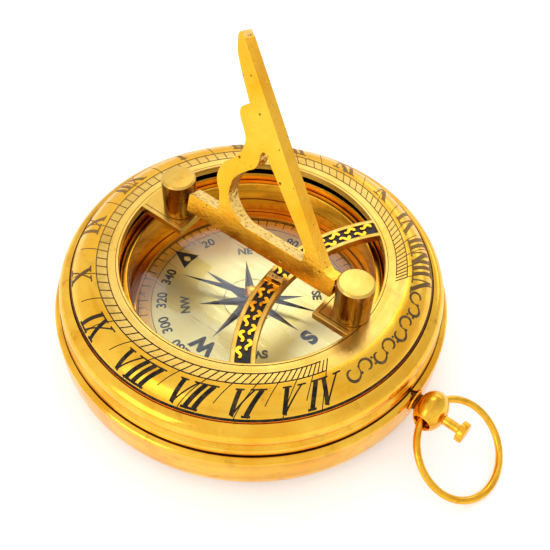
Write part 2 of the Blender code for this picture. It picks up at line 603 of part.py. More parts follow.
def make_button(mats, side):
    plate_outer = LATCH_Y - LATCH_THICKNESS
    head_outer = STEM_HEAD_Y - HEAD_THICKNESS
    hang(rod("button_stem", STEM_RADIUS - RUN_GAP / 2, (0, STEM_HEAD_Y + FINE_GAP, PENDANT_Z),
             (0, plate_outer - FINE_GAP, PENDANT_Z), mats["brass"], PIN_SIDES), side)
    hang(rod("button_head", HEAD_RADIUS, (0, head_outer, PENDANT_Z), (0, STEM_HEAD_Y, PENDANT_Z),
             mats["brass"]), side)
    latch_low = PENDANT_Z - STEM_RADIUS - LATCH_FOOT
    nose_low = LATCH_TOP - NOSE_THICKNESS
    latch = hang(box("latch_hook", (-LATCH_HALF_WIDTH, plate_outer, latch_low),
                     (LATCH_HALF_WIDTH, LATCH_Y, LATCH_TOP), mats["steel"]), side)
    nose = hang(box("latch_nose", (-LATCH_HALF_WIDTH, plate_outer - NOSE_REACH, nose_low),
                    (LATCH_HALF_WIDTH, LATCH_Y - LATCH_THICKNESS / 2, LATCH_TOP)), side)
    combine(latch, nose, "UNION")
    keeper_y = -SKIRT_INNER + 2 * FINE_GAP
    keeper_low = SEAM + 2 * FINE_GAP
    keeper_width = LATCH_HALF_WIDTH - FINE_GAP
    keeper = box("lid_keeper", (-keeper_width, keeper_y, keeper_low),
                 (keeper_width, keeper_y + KEEPER_DEPTH, nose_low - FINE_GAP), mats["steel"])
    hang(keeper, side)
    coil = helix(COIL_WIRE + FINE_GAP, COIL_LENGTH - 2 * COIL_WIRE, COIL_RADIUS, COIL_TURNS)
    spring_place = pivot("spring_place", (0, LATCH_Y, PENDANT_Z), 90, side)
    hang(swept("button_spring", coil, COIL_WIRE, mats["steel"], FINE_WIRE_SIDES), spring_place)
    bracket_y = LATCH_Y + COIL_LENGTH + 2 * FINE_GAP + BUTTON_TRAVEL
    bracket = box("spring_bracket", (-BRACKET_HALF_WIDTH, bracket_y, DRUM_FLOOR + FINE_GAP),
                  (BRACKET_HALF_WIDTH, bracket_y + BRACKET_THICKNESS, PENDANT_Z + COIL_RADIUS),
                  mats["brass"])
    hang(bracket, side)


def main():
    clear_scene()
    mats = make_materials()
    make_drum(mats)
    make_compass(mats)
    make_needle(mats)
    make_lid_frame(mats)
    make_dial_plate(mats)
    make_posts(mats)
    make_gnomon(mats)
    make_hinge(mats)
    side = make_pendant(mats)
    make_bow(mats, side)
    make_button(mats, side)


main()
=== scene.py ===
"""Looks for the brass pocket sundial compass: fine surfaces, engraving, print, light and camera.

Lengths are in metres and the frame is the CAD's: +Z up, +Y towards XII and the hinge, +X east.
"""
import math

import bmesh
import bpy
from mathutils import Matrix, Vector


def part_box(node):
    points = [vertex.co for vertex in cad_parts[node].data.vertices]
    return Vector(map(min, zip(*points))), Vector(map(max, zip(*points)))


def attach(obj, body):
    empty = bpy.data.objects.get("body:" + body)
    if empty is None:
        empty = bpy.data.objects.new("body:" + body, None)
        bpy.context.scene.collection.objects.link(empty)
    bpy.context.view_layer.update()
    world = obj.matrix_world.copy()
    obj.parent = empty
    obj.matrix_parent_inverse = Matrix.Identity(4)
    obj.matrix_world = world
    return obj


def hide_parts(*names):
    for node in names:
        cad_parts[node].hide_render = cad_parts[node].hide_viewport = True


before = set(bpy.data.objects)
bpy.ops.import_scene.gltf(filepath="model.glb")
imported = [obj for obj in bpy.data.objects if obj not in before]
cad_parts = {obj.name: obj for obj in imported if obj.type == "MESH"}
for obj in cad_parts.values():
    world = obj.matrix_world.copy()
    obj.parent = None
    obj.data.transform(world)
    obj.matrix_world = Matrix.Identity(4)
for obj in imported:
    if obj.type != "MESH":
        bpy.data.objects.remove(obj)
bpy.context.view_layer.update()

MM = 0.001

# Mesh making
CORNER_STEPS = 4
SHARP_ANGLE = 38.0          # degrees between two faces past which their edge stays sharp
MERGE = 1e-7                # metres within which two points are one
LINE_STEP = 0.45 * MM       # a line of ink has a point this often, to follow its surface
CIRCLE_STEP = 1.5           # degrees, the same for a circle


def low(node):
    return Vector(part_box(node)[0])


def high(node):
    return Vector(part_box(node)[1])


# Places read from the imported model
DIAL_TOP = high("dial_plate").z
DRUM_RADIUS = high("case_drum").x
DRUM_TOP = high("case_drum").z
LIP_RADIUS = high("lid_frame").x
LIP_LOW = low("lid_frame").z
DIAL_RADIUS = high("dial_plate").x
CUP_RADIUS = high("compass_cup").x
CUP_RIM = high("compass_cup").z
CARD_TOP = high("compass_card").z
CARD_RADIUS = high("compass_card").x
GLASS_TOP = high("compass_glass").z
GLASS_RADIUS = high("compass_glass").x
BEZEL_TOP = high("glass_bezel").z
BEZEL_LOW = low("glass_bezel").z
POST_TOP = high("north_post").z
POST_FOOT = low("north_post").z
POST_RADIUS = high("north_post").x
NORTH_POST = high("north_post").y - POST_RADIUS
SOUTH_POST = high("south_post").y - POST_RADIUS

# The dial's own proportions
OPENING = 20.7 * MM
OPENING_LINE = 21.15 * MM   # the fine circle that follows the opening
FLAT = 24.1 * MM            # the flat minute scale ends here and the numeral band begins
DIAL_DROP = 2.85 * MM
DIAL_RUN = DIAL_RADIUS - FLAT
DIAL_CURVE = (DIAL_RUN ** 2 + DIAL_DROP ** 2) / (2 * DIAL_DROP)     # radius that the band falls off by
PLATE = 1.2 * MM
INLAY_TOP = DIAL_TOP - 0.01 * MM    # tabs and hour band, just clear of the dial's own face
SCALE_INNER = 22.45 * MM
NUMERAL_TOP = 24.95 * MM
NUMERAL_FOOT = 28.02 * MM
HALF_HOUR_END = 27.05 * MM
SEAM_CIRCLE = 28.33 * MM
NUMERAL_STRETCH = 1.18      # width of a numeral against its strokes' own proportions
HOUR_CENTRE = -15.35 * MM   # the hour lines radiate from here on the noon line
HOUR_SKEW = 1.19            # degrees that the engraving is turned towards the west
FIRST_HOUR, LAST_HOUR = 4, 20
CELLS_PER_HOUR = 6
TAB_HALF = 3.7 * MM
NORTH_TAB = 11.8 * MM
SOUTH_TAB = -14.3 * MM
BAND_CENTRE = -33.6 * MM
BAND_RADIUS = 27.4 * MM
BAND_HALF = 1.8 * MM
BAND_TRENCH = 1.12 * MM
INK_LIFT = 0.035 * MM       # engraving and print lie this far above the metal

# Gnomon
PIN_RADIUS = 0.6 * MM
PIVOT_Z = low("north_pivot_pin").z + PIN_RADIUS
GNOMON_LEAN = 18.0
GNOMON_HALF = 1.2 * MM

# Pendant side
PENDANT_TURN = math.radians(-1.7)
BOW_TURN = math.radians(-5.0)
PENDANT_Y = -34.6 * MM
PENDANT_Z = 7.9 * MM
PENDANT_HALF_DEPTH = 2.35 * MM
PENDANT_HALF_HEIGHT = 3.15 * MM
PENDANT_BORE = 0.81 * MM
BOW_RADIUS = 7.15 * MM
BOW_OFFSET = 6.8 * MM
BOW_WIRE = 0.55 * MM
BOW_REST = math.radians(31.5)
BOW_END = 1.3 * MM

# Hinge and needle
HINGE_Y = 30.9 * MM
HINGE_Z = 9.25 * MM
NEEDLE_REST = math.radians(20.0)


# ---------------------------------------------------------------- mesh helpers

def fillet(corners, closed=True):
    """Round the corners of an outline; each corner is (a, b) or (a, b, size)."""
    points = []
    count = len(corners)
    for index, corner in enumerate(corners):
        size = corner[2] if len(corner) > 2 else 0.0
        here = Vector(corner[:2])
        last_or_first = not closed and index in (0, count - 1)
        if size == 0.0 or last_or_first:
            points.append(here)
            continue
        before = Vector(corners[index - 1][:2]) - here
        after = Vector(corners[(index + 1) % count][:2]) - here
        half = before.angle(after) / 2
        reach = min(size / math.tan(half), 0.49 * before.length, 0.49 * after.length)
        start = here + before.normalized() * reach
        end = here + after.normalized() * reach
        for step in range(CORNER_STEPS + 1):
            t = step / CORNER_STEPS
            points.append(start * (1 - t) ** 2 + here * 2 * t * (1 - t) + end * t ** 2)
    return points


def arc(centre, radius, start, end, steps):
    points = []
    for index in range(steps + 1):
        angle = math.radians(start + (end - start) * index / steps)
        points.append((centre[0] + radius * math.cos(angle), centre[1] + radius * math.sin(angle)))
    return points


def polar(radius, angle):
    return Vector((radius * math.cos(angle), radius * math.sin(angle)))


def tube(bore, radius, start, end, edge):
    """The section of a tube with rounded outer edges, or of a rod where the bore is 0."""
    return fillet([(bore, start), (radius, start, edge), (radius, end, edge), (bore, end)])


def smooth_path(points, per_span):
    """An open Catmull-Rom curve through the points."""
    result = []
    last = len(points) - 1
    for index in range(last):
        a, b, c, d = (Vector(points[min(max(index + shift, 0), last)]) for shift in (-1, 0, 1, 2))
        for step in range(per_span):
            t = step / per_span
            result.append(0.5 * (2 * b + (c - a) * t + (2 * a - 5 * b + 4 * c - d) * t ** 2
                                 + (3 * b - a - 3 * c + d) * t ** 3))
    result.append(Vector(points[last]))
    return result


def smooth(mesh, sharp_angle=SHARP_ANGLE):
    mesh.shade_smooth()
    mesh.set_sharp_from_angle(angle=math.radians(sharp_angle))


def to_mesh(bm, name, sharp_angle=SHARP_ANGLE):
    bmesh.ops.remove_doubles(bm, verts=bm.verts, dist=MERGE)
    bmesh.ops.recalc_face_normals(bm, faces=bm.faces)
    mesh = bpy.data.meshes.new(name)
    bm.to_mesh(mesh)
    bm.free()
    smooth(mesh, sharp_angle)
    return mesh


def piece(name, data, materials, body, nodes=()):
    obj = bpy.data.objects.new(name, data)
    bpy.context.collection.objects.link(obj)
    for material in materials:
        data.materials.append(material)
    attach(obj, body)
    if nodes:
        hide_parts(*nodes)
    return obj


def lathe(name, profile, segments=192, start=0.0, sweep=math.tau, centre=(0.0, 0.0)):
    """Spin (radius, height) points about a vertical axis; a part turn gets end caps."""
    bm = bmesh.new()
    whole = sweep == math.tau
    columns = segments if whole else segments + 1
    grid = []
    for radius, height in profile:
        ring = []
        for column in range(columns):
            angle = start + sweep * column / segments
            ring.append(bm.verts.new((centre[0] + radius * math.cos(angle),
                                      centre[1] + radius * math.sin(angle), height)))
        grid.append(ring)
    rows = list(zip(grid, grid[1:]))
    on_axis = profile[0][0] == 0.0 and profile[-1][0] == 0.0
    if not on_axis:
        rows.append((grid[-1], grid[0]))
    for lower, upper in rows:
        for column in range(columns if whole else columns - 1):
            after = (column + 1) % columns
            bm.faces.new((lower[column], lower[after], upper[after], upper[column]))
    if not whole:
        bm.faces.new([ring[0] for ring in grid])
        bm.faces.new([ring[-1] for ring in grid])
    bmesh.ops.remove_doubles(bm, verts=bm.verts, dist=MERGE)
    bmesh.ops.dissolve_degenerate(bm, dist=MERGE / 10, edges=bm.edges)
    return to_mesh(bm, name)


def cylinder(name, radius, start, end, segments):
    return lathe(name, [(0.0, start), (radius, start), (radius, end), (0.0, end)], segments)


def turned(name, profile, materials, body, nodes=(), segments=192, place=None):
    """A whole turning as a piece, about +Z unless a matrix moves it."""
    mesh = lathe(name, profile, segments)
    if place is not None:
        mesh.transform(place)
    return piece(name, mesh, materials, body, nodes)


def paint(obj, index, rule):
    """Give another material to the faces that a rule picks by radius, height and upward slope."""
    for face in obj.data.polygons:
        if rule(math.hypot(face.center.x, face.center.y), face.center.z, face.normal.z):
            face.material_index = index


def slab(name, outline, bottom, top):
    """Extrude a closed outline of (x, y) points."""
    bm = bmesh.new()
    verts = [bm.verts.new((point[0], point[1], bottom)) for point in outline]
    face = bm.faces.new(verts)
    made = bmesh.ops.extrude_face_region(bm, geom=[face])
    lifted = [item for item in made["geom"] if isinstance(item, bmesh.types.BMVert)]
    bmesh.ops.translate(bm, vec=(0, 0, top - bottom), verts=lifted)
    return to_mesh(bm, name)


def bevel(obj, width, segments=3, angle=32.0):
    modifier = obj.modifiers.new("soft_edges", "BEVEL")
    modifier.width = width
    modifier.segments = segments
    modifier.limit_method = "ANGLE"
    modifier.angle_limit = math.radians(angle)
    modifier.harden_normals = True


def cut(obj, mesh):
    """Cut a closed mesh out of a piece, and keep only the result."""
    cutter = bpy.data.objects.new("cutter", mesh)
    bpy.context.collection.objects.link(cutter)
    modifier = obj.modifiers.new("cut", "BOOLEAN")
    modifier.operation = "DIFFERENCE"
    modifier.object = cutter
    modifier.solver = "EXACT"
    bpy.context.view_layer.update()
    graph = bpy.context.evaluated_depsgraph_get()
    result = bpy.data.meshes.new_from_object(obj.evaluated_get(graph))
    obj.modifiers.clear()
    obj.data = result
    bpy.data.objects.remove(cutter, do_unlink=True)


def turn_to(direction, origin):
    """Moves a shape drawn about +Z onto an axis through a point."""
    spin = Vector((0, 0, 1)).rotation_difference(Vector(direction)).to_matrix().to_4x4()
    return Matrix.Translation(origin) @ spin


def hinge_line():
    return turn_to((1, 0, 0), (0, HINGE_Y, HINGE_Z))


def pendant_frame():
    return Matrix.Rotation(PENDANT_TURN, 4, "Z")


def pendant_line():
    """Stands a turning on the pendant's own axis, with its +Z outwards from the drum's centre."""
    return pendant_frame() @ turn_to((0, -1, 0), (0, 0, PENDANT_Z))


def dial_height(radius):
    if radius <= FLAT:
        return DIAL_TOP
    beyond = min(radius - FLAT, DIAL_RUN)
    return DIAL_TOP - DIAL_CURVE + math.sqrt(DIAL_CURVE ** 2 - beyond ** 2)


class Ink:
    """Flat marks that follow a surface of revolution."""

    def __init__(self, height):
        self.bm = bmesh.new()
        self.height = height

    def vertex(self, x, y):
        return self.bm.verts.new((x, y, self.height(math.hypot(x, y)) + INK_LIFT))

    def ribbon(self, points, widths):
        left, right = [], []
        for index, here in enumerate(points):
            ahead = points[min(index + 1, len(points) - 1)]
            behind = points[max(index - 1, 0)]
            along = (ahead - behind).normalized()
            side = Vector((-along.y, along.x)) * widths[index] / 2
            left.append(self.vertex(*(here + side)))
            right.append(self.vertex(*(here - side)))
        for index in range(len(points) - 1):
            self.bm.faces.new((left[index], right[index], right[index + 1], left[index + 1]))

    def line(self, start, end, width):
        start, end = Vector(start), Vector(end)
        count = max(1, math.ceil((end - start).length / LINE_STEP))
        self.ribbon([start.lerp(end, index / count) for index in range(count + 1)], [width] * (count + 1))

    def circle(self, radius, width, start=0.0, end=360.0):
        count = max(8, int(abs(end - start) / CIRCLE_STEP))
        points = [Vector(point) for point in arc((0, 0), radius, start, end, count)]
        self.ribbon(points, [width] * len(points))

    def path(self, points, width):
        """A stroke with its whole width in the middle and about a third of it at both ends."""
        last = len(points) - 1
        widths = [width * (0.35 + 0.65 * math.sin(math.pi * index / last)) for index in range(last + 1)]
        self.ribbon(points, widths)

    def polygon(self, points):
        self.bm.faces.new([self.vertex(*point) for point in points])

    def text(self, body, size, place, turn, weight):
        curve = bpy.data.curves.new("figure", "FONT")
        curve.body = body
        curve.size = size
        curve.offset = weight
        curve.align_x = "CENTER"
        curve.align_y = "CENTER"
        holder = bpy.data.objects.new("figure", curve)
        bpy.context.collection.objects.link(holder)
        bpy.context.view_layer.update()
        graph = bpy.context.evaluated_depsgraph_get()
        flat = bpy.data.meshes.new_from_object(holder.evaluated_get(graph))
        cos, sin = math.cos(turn), math.sin(turn)
        verts = []
        for vertex in flat.vertices:
            x, y = vertex.co.x, vertex.co.y
            verts.append(self.vertex(place[0] + x * cos - y * sin, place[1] + x * sin + y * cos))
        for polygon in flat.polygons:
            self.bm.faces.new([verts[index] for index in polygon.vertices])
        bpy.data.objects.remove(holder, do_unlink=True)

    def finish(self, name, material, body, slot):
        bmesh.ops.recalc_face_normals(self.bm, faces=self.bm.faces)
        for face in self.bm.faces:
            if face.normal.z < 0:
                face.normal_flip()
        mesh = bpy.data.meshes.new(name)
        self.bm.to_mesh(mesh)
        self.bm.free()
        piece(name, mesh, [material], body)


# ---------------------------------------------------------------- materials

class Nodes:
    """A short way to write a node tree around one Principled shader."""

    def __init__(self, name):
        self.material = bpy.data.materials.new(name)
        self.material.use_nodes = True
        self.tree = self.material.node_tree
        self.shader = self.tree.nodes["Principled BSDF"]
        self.place = self.add("ShaderNodeTexCoord").outputs["Object"]

    def add(self, kind, **settings):
        node = self.tree.nodes.new(kind)
        for key, value in settings.items():
            setattr(node, key, value)
        return node

    def put(self, socket, value):
        """Link an input to an output, or set the input's own value."""
        if isinstance(value, bpy.types.NodeSocket):
            self.tree.links.new(value, socket)
        else:
            socket.default_value = value

    def feed(self, node, **values):
        """Fill a node's inputs by name; a name here has _ for each space."""
        for key, value in values.items():
            self.put(node.inputs[key.replace("_", " ")], value)

    def finish(self, **values):
        self.feed(self.shader, **values)
        return self.material

    def stretched(self, x, y, z):
        mapping = self.add("ShaderNodeMapping")
        self.feed(mapping, Scale=(x, y, z), Vector=self.place)
        return mapping.outputs["Vector"]

    def radius(self):
        """Distance from the vertical axis."""
        length = self.add("ShaderNodeVectorMath", operation="LENGTH")
        self.put(length.inputs[0], self.stretched(1.0, 1.0, 0.0))
        return length.outputs["Value"]

    def noise(self, scale, detail=3.0, roughness=0.55, distortion=0.0, place=None):
        node = self.add("ShaderNodeTexNoise")
        self.feed(node, Scale=scale, Detail=detail, Roughness=roughness, Distortion=distortion,
                  Vector=place or self.place)
        return node.outputs["Fac"]

    def spots(self, scale):
        node = self.add("ShaderNodeTexVoronoi")
        self.feed(node, Scale=scale, Vector=self.place)
        return node.outputs["Distance"]

    def rings(self, scale, detail):
        """Noise drawn out around the vertical axis, as a lathe leaves it."""
        split = self.add("ShaderNodeSeparateXYZ")
        self.feed(split, Vector=self.place)
        slow = self.math("MULTIPLY", self.math("ADD", split.outputs["X"], split.outputs["Y"]), 0.045)
        joined = self.add("ShaderNodeCombineXYZ")
        self.feed(joined, X=self.radius(), Y=split.outputs["Z"], Z=slow)
        return self.noise(scale, detail, 0.6, place=joined.outputs["Vector"])

    def ramp(self, value, low_in, high_in, low_out, high_out):
        node = self.add("ShaderNodeMapRange")
        self.feed(node, From_Min=low_in, From_Max=high_in, To_Min=low_out, To_Max=high_out, Value=value)
        return node.outputs["Result"]

    def math(self, operation, a, b):
        node = self.add("ShaderNodeMath", operation=operation)
        self.put(node.inputs[0], a)
        self.put(node.inputs[1], b)
        return node.outputs["Value"]

    def mix(self, factor, a, b):
        node = self.add("ShaderNodeMix", data_type="RGBA")
        self.put(node.inputs["Factor"], factor)
        colours = [socket for socket in node.inputs if socket.type == "RGBA"]
        for socket, value in zip(colours, (a, b)):
            self.put(socket, (*value, 1.0) if isinstance(value, tuple) else value)
        return [socket for socket in node.outputs if socket.type == "RGBA"][0]

    def bump(self, height, distance, strength, normal=None):
        node = self.add("ShaderNodeBump")
        self.feed(node, Distance=distance, Strength=strength, Height=height)
        if normal is not None:
            self.feed(node, Normal=normal)
        return node.outputs["Normal"]


def darker(colour, share):
    return tuple(share * part for part in colour)


def brass(name, bright, deep, rough=(0.10, 0.24), grain=0.0, dents=0.010, stain=0.5, streaks=0.0, pits=0.0,
          drawn=0.0):
    """Polished brass: slow colour change, stains, turning streaks, scratches, dents and casting pits."""
    nodes = Nodes(name)
    patches = nodes.ramp(nodes.noise(120.0, 4.0, 0.6, 0.4), 0.36, 0.66, 0.0, 1.0)
    tarnish = darker(deep, 0.30)
    stains = nodes.ramp(nodes.noise(380.0, 6.0, 0.7), 0.56, 0.80, 0.0, stain)
    colour = nodes.mix(stains, nodes.mix(patches, bright, deep), tarnish)
    rubbed = nodes.noise(260.0, 5.0, 0.6)
    normal = nodes.bump(nodes.noise(95.0, 2.0, 0.5), dents * MM * 40, 0.35)
    if streaks > 0.0:
        rings = nodes.rings(750.0, 4.0)
        colour = nodes.mix(nodes.ramp(rings, 0.50, 0.74, 0.0, streaks), colour, tarnish)
        rubbed = nodes.math("ADD", nodes.math("MULTIPLY", rubbed, 0.5), nodes.math("MULTIPLY", rings, 0.5))
        normal = nodes.bump(nodes.rings(3800.0, 3.0), 0.02 * MM, 0.30, normal)
    if drawn > 0.0:
        lines = nodes.noise(900.0, 4.0, 0.6, place=nodes.stretched(1.0, 1.0, 0.07))
        colour = nodes.mix(nodes.ramp(lines, 0.42, 0.66, 0.0, drawn), colour, tarnish)
    if pits > 0.0:
        clusters = nodes.math("MULTIPLY", nodes.noise(330.0, 2.0), 0.9)
        depth = nodes.ramp(nodes.math("ADD", nodes.spots(950.0), clusters), 0.44, 0.56, 1.0, 0.0)
        colour = nodes.mix(nodes.math("MULTIPLY", depth, pits), colour, tarnish)
        normal = nodes.bump(nodes.math("MULTIPLY", depth, -1.0), 0.08 * MM, 0.8, normal)
    sand = nodes.math("ADD", nodes.spots(1700.0), nodes.noise(2600.0, 3.0))
    if grain > 0.5:
        colour = nodes.mix(nodes.ramp(sand, 0.62, 0.86, 0.75, 0.0), colour, tarnish)
    fine = nodes.noise(2600.0, 2.0, 0.6, place=nodes.stretched(1.0, 0.12, 1.0))
    crossing = nodes.noise(2300.0, 2.0, 0.6, place=nodes.stretched(0.10, 1.0, 1.0))
    normal = nodes.bump(nodes.math("MAXIMUM", fine, crossing), 0.02 * MM, 0.25, normal)
    if grain > 0.0:
        normal = nodes.bump(sand, 0.16 * MM, grain, normal)
    return nodes.finish(Metallic=1.0, Base_Color=colour, Roughness=nodes.ramp(rubbed, 0.3, 0.7, *rough),
                        Normal=normal)


def steel(name, colour, rough):
    nodes = Nodes(name)
    streaks = nodes.noise(900.0, 3.0, 0.6, place=nodes.stretched(1.0, 1.0, 0.2))
    return nodes.finish(Metallic=1.0, Base_Color=nodes.mix(streaks, colour, darker(colour, 0.6)),
                        Roughness=nodes.ramp(streaks, 0.3, 0.7, rough, rough + 0.15),
                        Normal=nodes.bump(streaks, 0.02 * MM, 0.4))


def enamel(name, colour, rough, fleck, rubbed=0.0):
    """Filler in engraving, and printing ink; engraving may be rubbed away towards the east."""
    nodes = Nodes(name)
    worn = nodes.ramp(nodes.noise(900.0, 4.0, 0.7), 0.45, 0.75, 0.0, fleck)
    if rubbed > 0.0:
        east = nodes.add("ShaderNodeVectorMath", operation="DOT_PRODUCT")
        nodes.put(east.inputs[0], nodes.place)
        nodes.put(east.inputs[1], (0.8, 0.6, 0.0))
        bare = nodes.ramp(east.outputs["Value"], -16.0 * MM, 6.0 * MM, 0.0, rubbed)
        worn = nodes.math("MAXIMUM", worn, bare)
    return nodes.finish(Base_Color=nodes.mix(worn, colour, (0.34, 0.18, 0.03)), Roughness=rough,
                        Specular_IOR_Level=0.2, Normal=nodes.bump(nodes.noise(2500.0, 3.0), 0.02 * MM, 0.5))


def card_metal(name):
    """The pale brass sheet that the compass rose is printed on, more golden towards its rim."""
    nodes = Nodes(name)
    tone = nodes.ramp(nodes.noise(140.0, 4.0, 0.6), 0.35, 0.7, 0.0, 1.0)
    middle = nodes.mix(tone, (1.0, 0.90, 0.40), (0.98, 0.80, 0.26))
    edge = nodes.ramp(nodes.radius(), 16.3 * MM, 17.2 * MM, 0.0, 1.0)
    brushed = nodes.noise(2200.0, 2.0, 0.5, place=nodes.stretched(1.0, 0.04, 1.0))
    return nodes.finish(Metallic=0.7, Base_Color=nodes.mix(edge, middle, (0.98, 0.62, 0.12)),
                        Roughness=nodes.ramp(brushed, 0.3, 0.7, 0.26, 0.40),
                        Normal=nodes.bump(brushed, 0.01 * MM, 0.3))


def window_glass(name):
    """Clear glass that mirrors its surroundings, a little face on and much more at a glance."""
    nodes = Nodes(name)
    clear = nodes.add("ShaderNodeBsdfTransparent")
    nodes.feed(clear, Color=(0.975, 0.98, 0.985, 1.0))
    slant = nodes.add("ShaderNodeLayerWeight")
    nodes.feed(slant, Blend=0.5)
    rise = nodes.math("POWER", slant.outputs["Facing"], 4.0)
    blend = nodes.add("ShaderNodeMixShader")
    nodes.feed(blend, Fac=nodes.math("ADD", nodes.math("MULTIPLY", rise, 0.9), 0.022))
    nodes.put(blend.inputs[1], clear.outputs["BSDF"])
    nodes.put(blend.inputs[2], nodes.shader.outputs["BSDF"])
    nodes.feed(nodes.tree.nodes["Material Output"], Surface=blend.outputs["Shader"])
    return nodes.finish(Metallic=1.0, Roughness=0.015, Base_Color=(0.90, 0.93, 1.0, 1.0))


POLISHED = brass("polished_brass", (0.99, 0.57, 0.06), (0.88, 0.40, 0.02), (0.12, 0.27), stain=0.65,
                 streaks=0.45)
# Painted shade: a darker copy of the post brass for the posts' upright sides, while their tops keep the
# paler dial brass; its drawn streaks and stains are real.
POST_SIDE_SHADE = brass("post_side_shade_brass", (0.72, 0.36, 0.05), (0.34, 0.15, 0.02), (0.12, 0.26), stain=0.7,
                  drawn=0.95)
# Partly painted highlight: a paler, less saturated brass on the flat, upward faces (dial flat, tabs, hour
# band, post tops) stands in for the sheen they catch; its grain, dents, stains and turning streaks are real
# wear.
DIAL_SHEEN_BRASS = brass("dial_sheen_brass", (0.79, 0.52, 0.13), (0.70, 0.40, 0.06), (0.24, 0.38), grain=0.05,
                   dents=0.004, stain=0.50, streaks=0.25)
HOUR_BRASS = brass("hour_band_brass", (0.98, 0.57, 0.06), (0.93, 0.43, 0.02), (0.18, 0.32), grain=0.04,
                   dents=0.006, stain=0.45, streaks=0.25)
CAST = brass("cast_brass", (1.0, 0.54, 0.045), (0.97, 0.43, 0.015), (0.14, 0.30), grain=0.05, stain=0.20,
             pits=1.0)
SANDY = brass("sand_cast_brass", (1.0, 0.70, 0.22), (0.92, 0.54, 0.09), (0.22, 0.40), grain=0.95)
# Painted shade: near-black brass for the gap between the drum's rim and the lid's lip, and for the
# pendant's neck between the drum and the bead, where shade falls.
GAP_SHADE = brass("gap_shade_brass", (0.22, 0.075, 0.006), (0.08, 0.026, 0.003), (0.28, 0.45))
# Painted shade: near-black brass on the hidden insides and undersides, so that the cavity seen past the
# dial's opening stays dark.
INSIDE_SHADE = brass("dark_brass", (0.10, 0.055, 0.015), (0.05, 0.028, 0.01), (0.35, 0.55))
INNER = brass("turned_brass", (0.96, 0.52, 0.05), (0.74, 0.30, 0.02), (0.14, 0.28), dents=0.006,
              streaks=0.5)
STEEL = steel("spring_steel", (0.55, 0.55, 0.57), 0.22)
BLUED = steel("blued_steel", (0.045, 0.045, 0.055), 0.25)
BLACK = enamel("black_filler", (0.003, 0.0025, 0.002), 0.5, 0.25, 0.8)
WORN_FILLER = enamel("worn_filler", (0.075, 0.045, 0.02), 0.5, 0.6)
TRENCH = enamel("trench_black", (0.02, 0.018, 0.018), 0.30, 0.15)
PRINT = enamel("card_ink", (0.035, 0.033, 0.035), 0.5, 0.12)
GREY_PRINT = enamel("card_ink_grey", (0.17, 0.165, 0.15), 0.5, 0.1)
CARD = card_metal("card_print")
GLASS = window_glass("window_glass")


# ---------------------------------------------------------------- the drum

def make_drum():
    base = 27.15 * MM
    shell = 1.3 * MM
    wall = DRUM_RADIUS - shell
    floor = 1.2 * MM
    corner = DRUM_RADIUS - base
    ledge = DRUM_TOP - 1.2 * MM
    ledge_radius = 28.3 * MM
    rim_edge = 0.1 * MM
    hollow = 0.35 * MM
    groove_half = 0.2 * MM
    foot = [(0.0, hollow), (19.6 * MM, hollow, 0.3 * MM), (20.2 * MM, 0.0, 0.3 * MM)]
    for groove in (23.0 * MM, 24.2 * MM):
        foot += [(groove - groove_half, 0.0), (groove, 0.16 * MM), (groove + groove_half, 0.0)]
    side = arc((base, corner), corner, -90, 0, 14)
    rim = [(DRUM_RADIUS, DRUM_TOP - 0.4 * MM, 0.3 * MM),
           (DRUM_RADIUS - 0.3 * MM, DRUM_TOP - 0.1 * MM, 0.2 * MM),
           (DRUM_RADIUS - 0.9 * MM, DRUM_TOP, 0.2 * MM), (ledge_radius, DRUM_TOP, rim_edge),
           (ledge_radius, ledge, rim_edge), (wall, ledge, rim_edge), (wall, 4.6 * MM)]
    inside = arc((base, corner), corner - shell, 0, -90, 8)[1:-1]
    profile = fillet(foot + side + rim + inside + [(base, floor), (0.0, floor)], closed=False)
    drum = turned("drum_case", profile, [POLISHED, INSIDE_SHADE, GAP_SHADE], "case", ["case_drum"])
    # Painted shade: the drum's rim under the lid's lip takes the gap shade.
    seam_low, seam_radius = DRUM_TOP - 0.5 * MM, LIP_RADIUS + 0.3 * MM
    paint(drum, 2, lambda radius, height, up: height > seam_low and radius < seam_radius)
    # Painted shade: the drum's inside takes the inside shade.
    inner_low, inner_high = floor - 0.1 * MM, ledge - 0.05 * MM
    paint(drum, 1, lambda radius, height, up: radius < wall + 0.05 * MM and inner_low < height < inner_high)
    bore = cylinder("neck_bore", 1.25 * MM, 29.0 * MM, 33.0 * MM, 32)
    bore.transform(pendant_line())
    cut(drum, bore)
    cut(drum, hinge_channel())


# ---------------------------------------------------------------- the compass

def make_cup():
    inner = 20.6 * MM
    rebate = 21.0 * MM
    step = BEZEL_LOW - 1.2 * MM
    foot = 1.3 * MM
    shelf = 4.4 * MM
    well, floor = 18.0 * MM, 2.3 * MM
    soft = 0.05 * MM
    profile = fillet([
        (0.0, foot), (CUP_RADIUS, foot, 0.4 * MM), (CUP_RADIUS, CUP_RIM, 0.15 * MM),
        (rebate + 0.1 * MM, CUP_RIM, 0.12 * MM), (rebate, step, soft), (inner, step, soft),
        (inner, shelf), (well, shelf), (well, floor), (0.0, floor)], closed=False)
    cup = turned("compass_cup_fine", profile, [INNER, INSIDE_SHADE], "case", ["compass_cup"])
    # Painted shade: the cup's outer side, under the dial ring, takes the inside shade.
    side_radius, side_top = CUP_RADIUS - 0.1 * MM, CUP_RIM - 0.16 * MM
    paint(cup, 1, lambda radius, height, up: radius > side_radius and height < side_top)


def make_chapter_ring():
    bottom = low("chapter_ring").z
    top = high("chapter_ring").z
    inner = 18.95 * MM
    profile = fillet([(inner, bottom), (CARD_RADIUS, bottom), (CARD_RADIUS, top, 0.1 * MM),
                      (inner + 0.2 * MM, top, 0.15 * MM)])
    turned("chapter_ring_fine", profile, [INNER], "case", ["chapter_ring"])


